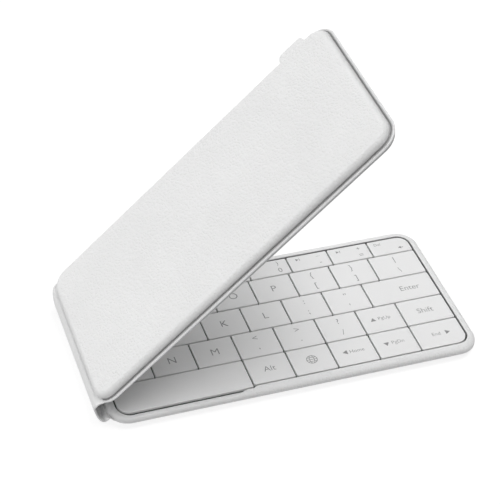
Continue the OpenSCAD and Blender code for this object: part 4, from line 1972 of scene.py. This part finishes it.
@dataclass
class Fold:
    """The bent strip's path in the XZ plane, in millimetres, and where it is parted.

    The path leaves the base's flange straight, swings round in one cubic curve and meets
    the lid's flange straight. It is parted at its leftmost point, where it follows the
    spine, so that each part bends across one fold line only.
    """

    steps: int = 72

    def lid_point(self, x: float, z: float) -> Array:
        """A point of the lid's own XZ plane, carried to the shared one."""
        placed = Place(Half.LID).carry(np.array([[x, 0.0, z]]))[0] / MM
        return placed[[0, 2]]

    def path(self) -> Array:
        """The whole path from flange to flange.

        Its curve is (1-t)^3 a + 3t(1-t)^2 c + 3t^2(1-t) d + t^3 b.

        Returns:
            N by 2 array of x and z.
        """
        x = -SIZE.half_w / 2 - SIZE.flange_out - SIZE.seam_gap
        mid = SIZE.flange_mid
        a = np.array([x - SIZE.strip_stub, mid])
        b = self.lid_point(x - SIZE.strip_stub, mid)
        way = SIZE.lid_dir[[0, 2]]
        c = a - (SIZE.strip_reach_base, SIZE.strip_sag)
        d = b - SIZE.strip_reach_lid * way
        t = np.linspace(0.0, 1.0, self.steps + 1)[:, None]
        curve = (1 - t) ** 3 * a + 3 * t * (1 - t) ** 2 * c + 3 * t * t * (1 - t) * d + t**3 * b
        return np.concatenate([[(x, mid)], curve, [self.lid_point(x, mid)]])

    def parting(self) -> int:
        """Index of the leftmost point."""
        return int(np.argmin(self.path()[:, 0]))

    def bend(self, made: bpy.types.Object, part: int) -> None:
        """Bakes a part's place into its mesh.

        Args:
            made: The part.
            part: 0 for the base's side, 1 for the lid's; not used.
        """
        path, k = self.path(), self.parting()
        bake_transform(made)


@dataclass
class HingeStrip:
    """The leather strip that joins the halves, in two parts that meet at its leftmost point.

    Attributes:
        fold: The strip's path.
        flare_base: How much wider the strip is on each side at the base.
        flare_lid: The same at the lid.
        flare_len: Length along which it narrows.
        flare_power: Power of the narrowing at the base.
        taut: Share of the sag that the strip's edges lack at the base.
        taut_w: Width over which the edges rise.
        across: Number of points across the strip.
    """

    fold: Fold
    flare_base: float = 4.2
    flare_lid: float = 5.0
    flare_len: float = 7.0
    flare_power: float = 1.3
    taut: float = 0.45
    taut_w: float = 5.0
    across: int = 61

    def section(self, half_w: float) -> Array:
        """The strip's section, with rounded edges.

        Args:
            half_w: Half the strip's width there.

        Returns:
            N by 2 array: place across, and place through.
        """
        thick = SIZE.strip_t / 2
        across = np.linspace(-(half_w - thick), half_w - thick, self.across)
        turn = np.linspace(-math.pi / 2, math.pi / 2, 9)[1:-1]
        right = np.c_[half_w - thick + thick * np.cos(turn), thick * np.sin(turn)]
        low = np.c_[across, np.full(self.across, -thick)]
        high = np.c_[across[::-1], np.full(self.across, thick)]
        return np.concatenate([low, right, high, -right])

    def rings(self) -> tuple[Array, Array]:
        """The section carried along the whole path, wider and drawn round at both ends.

        Returns:
            Rings, R by C by 3, and where their points lie on the flat leather.
        """
        path = self.fold.path()
        along = directions(path)
        outward = np.c_[-along[:, 1], along[:, 0]]
        step = np.linalg.norm(np.diff(path, axis=0), axis=1)
        run = np.concatenate([[0.0], np.cumsum(step)])
        edge = SIZE.half_d / 2 + SIZE.flange_out
        radius = SIZE.rim_corner + SIZE.flange_out
        rings, lies = [], []
        for point, way, out, s in zip(path, along, outward, run):
            at_base = s < run[-1] / 2
            near = np.array(min(s, run[-1] - s))
            if at_base:
                flare = self.flare_base
                ease = np.clip(near / self.flare_len, 0.0, 1.0) ** self.flare_power
            else:
                flare = self.flare_lid
                ease = smoothstep(0.0, self.flare_len, near)
            section = self.section(edge - SIZE.strip_inset + flare * (1.0 - ease))
            past = np.maximum(np.abs(section[:, 0]) - (edge - radius), 0.0)
            arc = radius - np.sqrt(np.maximum(radius**2 - past**2, 1.0))
            pull = (-1.0 if at_base else 1.0) * arc * (1.0 - ease)
            flat = point + section[:, 1:] * out + pull[:, None] * way
            sag = max(SIZE.flange_mid - point[1], 0.0) * at_base
            flat[:, 1] += self.taut * sag * smoothstep(0.0, self.taut_w, past)
            rings.append(np.c_[flat[:, 0], section[:, 0], flat[:, 1]])
            lies.append(np.c_[s + pull, section[:, 0], section[:, 1]])
        return np.array(rings), np.array(lies)

    def build(self) -> None:
        """Makes the two parts, standing for the strip's node."""
        rings, lies = self.rings()
        k = self.fold.parting()
        for part, which in enumerate((slice(0, k + 1), slice(k, None))):
            shell = Shell()
            shell.add(*tube(rings[which]), tube(lies[which])[0])
            name = ("strip_base_side", "strip_lid_side")[part]
            made = shell.build(name, Place(Half.BASE), sharp=50.0)
            finish_piece(made, LEATHER, ("hinge_strip",) if part == 0 else ())
            self.fold.bend(made, part)


@dataclass
class FlexRibbon:
    """The amber ribbon cable inside the strip, in two parts like the strip.

    Attributes:
        fold: The strip's path.
        plug: Length of the stretch in the base's socket.
        plug_x: How far from the key area's edge that stretch ends.
        plug_z: Its height.
        under: How far under the panel's height the cable comes to the wall.
        inside: How far inside the wall that place is.
        mouth: How far outside the wall the cable comes to the flange's middle.
        lid_run: Length of the stretch inside the lid, from the wall.
    """

    fold: Fold
    plug: float = 2.6
    plug_x: float = 4.4
    plug_z: float = 1.6
    under: float = 0.6
    inside: float = 1.8
    mouth: float = 0.4
    lid_run: float = 12.0

    def paths(self) -> tuple[Array, Array]:
        """The paths of the two parts.

        Returns:
            Two N by 2 arrays of x and z.
        """
        wall, low = -SIZE.half_w / 2, SIZE.panel_h - self.under
        bends = [(wall + self.inside, low), (wall - self.mouth, SIZE.flange_mid)]
        first = -SIZE.area_w / 2 + self.plug_x
        start = [(first + self.plug, self.plug_z), (first, self.plug_z), *bends]
        end = [(wall + self.lid_run, low), *bends]
        strip, k = self.fold.path(), self.fold.parting()
        lid = [self.fold.lid_point(x, z) for x, z in end[::-1]]
        return np.concatenate([start, strip[1 : k + 1]]), np.concatenate([strip[k:-1], lid])

    def build(self) -> None:
        """Makes the two parts, standing for the cable's node."""
        y = SIZE.half_d / 2 - SIZE.rim_corner - SIZE.flex_w / 2 - 2 * SIZE.flex_slot
        left, right = y - SIZE.flex_w / 2, y + SIZE.flex_w / 2
        for part, path in enumerate(self.paths()):
            along = directions(path)
            out = np.c_[-along[:, 1], along[:, 0]] * SIZE.flex_t / 2
            low, high = path - out, path + out
            corners = ((low, left), (low, right), (high, right), (high, left))
            rings = np.stack(
                [np.c_[at[:, 0], np.full(len(path), side), at[:, 1]] for at, side in corners],
                axis=1,
            )
            shell = Shell()
            shell.add(*tube(rings))
            name = ("flex_base_side", "flex_lid_side")[part]
            made = shell.build(name, Place(Half.BASE), sharp=30.0)
            finish_piece(made, FLEX, ("flex_cable",) if part == 0 else ())
            self.fold.bend(made, part)


@dataclass
class PullTab:
    """The folded leather loop on the lid's back edge, narrower at its outer end.

    Attributes:
        place: The lid's place.
        tip_w: The loop's width near its outer end.
        short: How much shorter it is than the solid.
        clear: Gap between each arm and the flange.
        taper: Share and power of the narrowing, as 1 - (1 - share s^power)^0.5.
        spread: How much wider the lower arm is.
        soft: Powers that round the band's section, across and through.
    """

    place: Place
    tip_w: float = 6.2
    short: float = 0.5
    clear: float = 0.03
    taper: tuple = (0.96, 2.4)
    spread: float = 0.7
    soft: tuple = (0.25, 0.55)

    @property
    def arm(self) -> float:
        """Distance of each arm's middle from the flange's middle."""
        return SIZE.flange_t / 2 + self.clear + SIZE.tab_band / 2

    @property
    def root(self) -> float:
        """Where the arms start along y."""
        return SIZE.half_d / 2 + SIZE.flange_out - SIZE.tab_grip

    @property
    def tip(self) -> float:
        """Where the arms end and the bow starts."""
        end = SIZE.half_d / 2 + SIZE.flange_out + SIZE.tab_out - SIZE.tab_band / 2
        return end - self.arm - self.short

    def path(self) -> Array:
        """The loop's path: out along the upper arm, a half circle, and back.

        Returns:
            N by 2 array of y and z.
        """
        turn = np.linspace(math.pi / 2, -math.pi / 2, 21)[1:-1]
        straight = np.linspace(self.root, self.tip, 14)
        bow = (self.tip, 0.0) + self.arm * np.c_[np.cos(turn), np.sin(turn)]
        upper = np.c_[straight, np.full(len(straight), self.arm)]
        return np.concatenate([upper, bow, upper[::-1] * (1.0, -1.0)]) + (0.0, SIZE.flange_mid)

    def build(self) -> None:
        """Makes the loop, a rounded band along its path, standing for the tab's node."""
        path = self.path()
        along = directions(path)
        out = np.c_[along[:, 1], -along[:, 0]]
        reach = self.tip + self.arm - self.root
        share = np.clip((path[:, 0] - self.root) / reach, 0.0, 1.0)
        keep, power = self.taper
        narrow = (SIZE.tab_w - self.tip_w) / 2
        half_w = SIZE.tab_w / 2 - narrow * (1.0 - np.sqrt(1.0 - keep * share**power))
        lower = smoothstep(0.0, -self.arm, path[:, 1] - SIZE.flange_mid)
        half_w = half_w + self.spread * lower
        bulge = circle(28)
        edge, face = (np.sign(v) * np.abs(v) ** p for v, p in zip(bulge.T, self.soft))
        through = SIZE.tab_band / 2 * face
        middle = SIZE.half_w / 2 + SIZE.flange_out - SIZE.tab_from_end
        rings = np.stack(
            [
                middle + half_w[:, None] * edge,
                path[:, :1] + out[:, :1] * through,
                path[:, 1:] + out[:, 1:] * through,
            ],
            axis=-1,
        )
        shell = Shell()
        shell.add(*tube(rings))
        made = shell.build("pull_loop", self.place, sharp=60.0)
        finish_piece(made, LEATHER, ("pull_tab",))
        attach(made, "lid")


# ---- the solids that are shown as they are ----


@dataclass
class InnerParts:
    """The solids inside that are shown as they are, with their finishes."""

    finishes: dict = field(
        default_factory=lambda: {
            "base_plate": STEEL,
            "lid_plate": STEEL,
            "base_membrane": FILM,
            "lid_membrane": FILM,
            "battery": FOIL,
            "main_board": BOARD,
            "charging_port": SHELL_STEEL,
        }
    )

    def build(self) -> None:
        """Puts each finish in place of the node's own material."""
        for name, finish in self.finishes.items():
            mesh = frame["nodes"][name].data
            material = finish.make(Lie.OBJECT)
            if len(mesh.materials):
                for k in range(len(mesh.materials)):
                    mesh.materials[k] = material
            else:
                mesh.materials.append(material)
            LOG.info("finished %s", name)


# ---- studio ----


@dataclass(frozen=True)
class SkyPatch:
    """A soft bright patch of the sky.

    Attributes:
        way: Direction to its middle, of length 1.
        edge: Cosine of its radius.
        strength: How much it adds at its middle.
    """

    way: tuple
    edge: float
    strength: float


@dataclass
class Studio:
    """A white room: a dim sky, and a floor like a light table that still takes the shadow.

    The sky's patches are a small bright one nearly overhead, a wide one on the right of it,
    a low one at the back left and one at the front left.

    Attributes:
        sky: Strength of the sky outside its patches.
        patches: The patches.
        floor_glow: Strength of the floor's own light.
        floor_lift: What the camera sees besides.
        floor_tone: The floor's colour, which takes the shadow.
        floor_reach: Half the floor's width, in metres.
        floor_drop: How far the floor lies under the keyboard, in metres.
    """

    sky: float = 0.01
    patches: tuple = (
        SkyPatch((0.224, -0.129, 0.966), 0.94, 7.2),
        SkyPatch((0.342, 0.0, 0.94), 0.75, 1.15),
        SkyPatch((-0.604, 0.72, 0.342), 0.7, 2.1),
        SkyPatch((-0.663, -0.557, 0.5), 0.7, 1.05),
    )
    floor_glow: float = 0.5
    floor_lift: float = 0.27
    floor_tone: float = 0.3
    floor_reach: float = 3.0
    floor_drop: float = 0.0002

    def world(self) -> None:
        """White to the camera and in mirrors, a soft graded light to everything else."""
        world = bpy.data.worlds.new("room")
        bpy.context.scene.world = world
        wiring = Wiring.of(world)
        path = wiring.put("ShaderNodeLightPath").outputs
        seen = wiring.math("MAXIMUM", path["Is Camera Ray"], path["Is Transmission Ray"])
        seen = wiring.math("MAXIMUM", seen, path["Is Glossy Ray"])
        way = wiring.put("ShaderNodeTexCoord").outputs["Generated"]
        strength = self.sky
        for patch in self.patches:
            near = wiring.vector("DOT_PRODUCT", way, patch.way).outputs["Value"]
            more = wiring.ramp(near, patch.edge, 1.0, 0.0, patch.strength)
            strength = wiring.math("ADD", more, strength)
        white = (1.0, 1.0, 1.0, 1.0)
        soft, plain = (
            wiring.put("ShaderNodeBackground", {"Color": white, "Strength": value}).outputs[0]
            for value in (strength, 1.0)
        )
        mix = wiring.put("ShaderNodeMixShader", {0: seen, 1: soft, 2: plain})
        wiring.put("ShaderNodeOutputWorld", {"Surface": mix.outputs[0]})

    def floor(self) -> None:
        """A wide plane just under the keyboard, in paper that glows."""
        mesh = bpy.data.meshes.new("floor")
        reach, low = self.floor_reach, -self.floor_drop
        corners = [(x * reach, y * reach, low) for x, y in CORNERS]
        mesh.from_pydata(corners, [], [(0, 1, 2, 3)])
        plane = bpy.data.objects.new("floor", mesh)
        bpy.context.scene.collection.objects.link(plane)
        material = bpy.data.materials.new("floor")
        wiring = Wiring.of(material)
        paper = wiring.put("ShaderNodeBsdfDiffuse", {"Color": (*(self.floor_tone,) * 3, 1.0)})
        seen = wiring.put("ShaderNodeLightPath").outputs["Is Camera Ray"]
        light = wiring.math("ADD", wiring.math("MULTIPLY", seen, self.floor_lift), self.floor_glow)
        glow = wiring.put("ShaderNodeEmission", {"Strength": light})
        both = wiring.put("ShaderNodeAddShader", {0: paper.outputs[0], 1: glow.outputs[0]})
        wiring.put("ShaderNodeOutputMaterial", {"Surface": both.outputs[0]})
        mesh.materials.append(material)

    def build(self) -> None:
        """Makes the world and the floor."""
        self.world()
        self.floor()


@dataclass
class Viewpoint:
    """The camera: its place in millimetres, its three directions and its lens.

    Attributes:
        place: Where it stands.
        right: Direction to the right of what it sees.
        down: Direction to the bottom of that.
        ahead: Direction that it looks in.
        lens: Focal length, and sensor its width, in millimetres.
        clip: Nearest and furthest distances seen, in metres.
    """

    place: tuple = (-193.441, -485.819, 478.890)
    right: tuple = (0.94671, -0.31948, 0.04103)
    down: tuple = (-0.17564, -0.6188, -0.76566)
    ahead: tuple = (0.27, 0.71765, -0.64193)
    lens: float = 123.44
    sensor: float = 36.0
    clip: tuple = (0.01, 20.0)

    def build(self) -> None:
        """Makes the camera and sets it as the scene's."""
        data = bpy.data.cameras.new("camera")
        data.lens = self.lens
        data.sensor_width = self.sensor
        data.sensor_fit = "HORIZONTAL"
        data.clip_start, data.clip_end = self.clip
        camera = bpy.data.objects.new("camera", data)
        turn = Matrix((self.right, [-v for v in self.down], [-v for v in self.ahead])).transposed()
        camera.matrix_world = Matrix.Translation(Vector(self.place) * MM) @ turn.to_4x4()
        bpy.context.scene.collection.objects.link(camera)
        bpy.context.scene.camera = camera
        bpy.context.scene.view_settings.view_transform = "Standard"


def main() -> None:
    """Builds every piece in order, then the studio."""
    logging.basicConfig(level=logging.INFO, format="%(message)s")
    fold = Fold()
    for half in Half:
        place = Place(half)
        PaddedCover(place, crown=0.25 if half is Half.LID else 0.0).build()
        if half is Half.LID:
            # The lid's rim takes stronger painted shade, fading over its whole outer wall.
            KeyRim(place, roll_w=2.0, shy=1.0, shade=1.5, shade_h=3.2).build()
        else:
            KeyRim(place).build()
        KeyField(place).build()
    HingeStrip(fold).build()
    FlexRibbon(fold).build()
    PullTab(Place(Half.LID)).build()
    InnerParts().build()
    Studio().build()
    Viewpoint().build()
    LOG.info("sizes written")


if __name__ == "__main__":
    main()
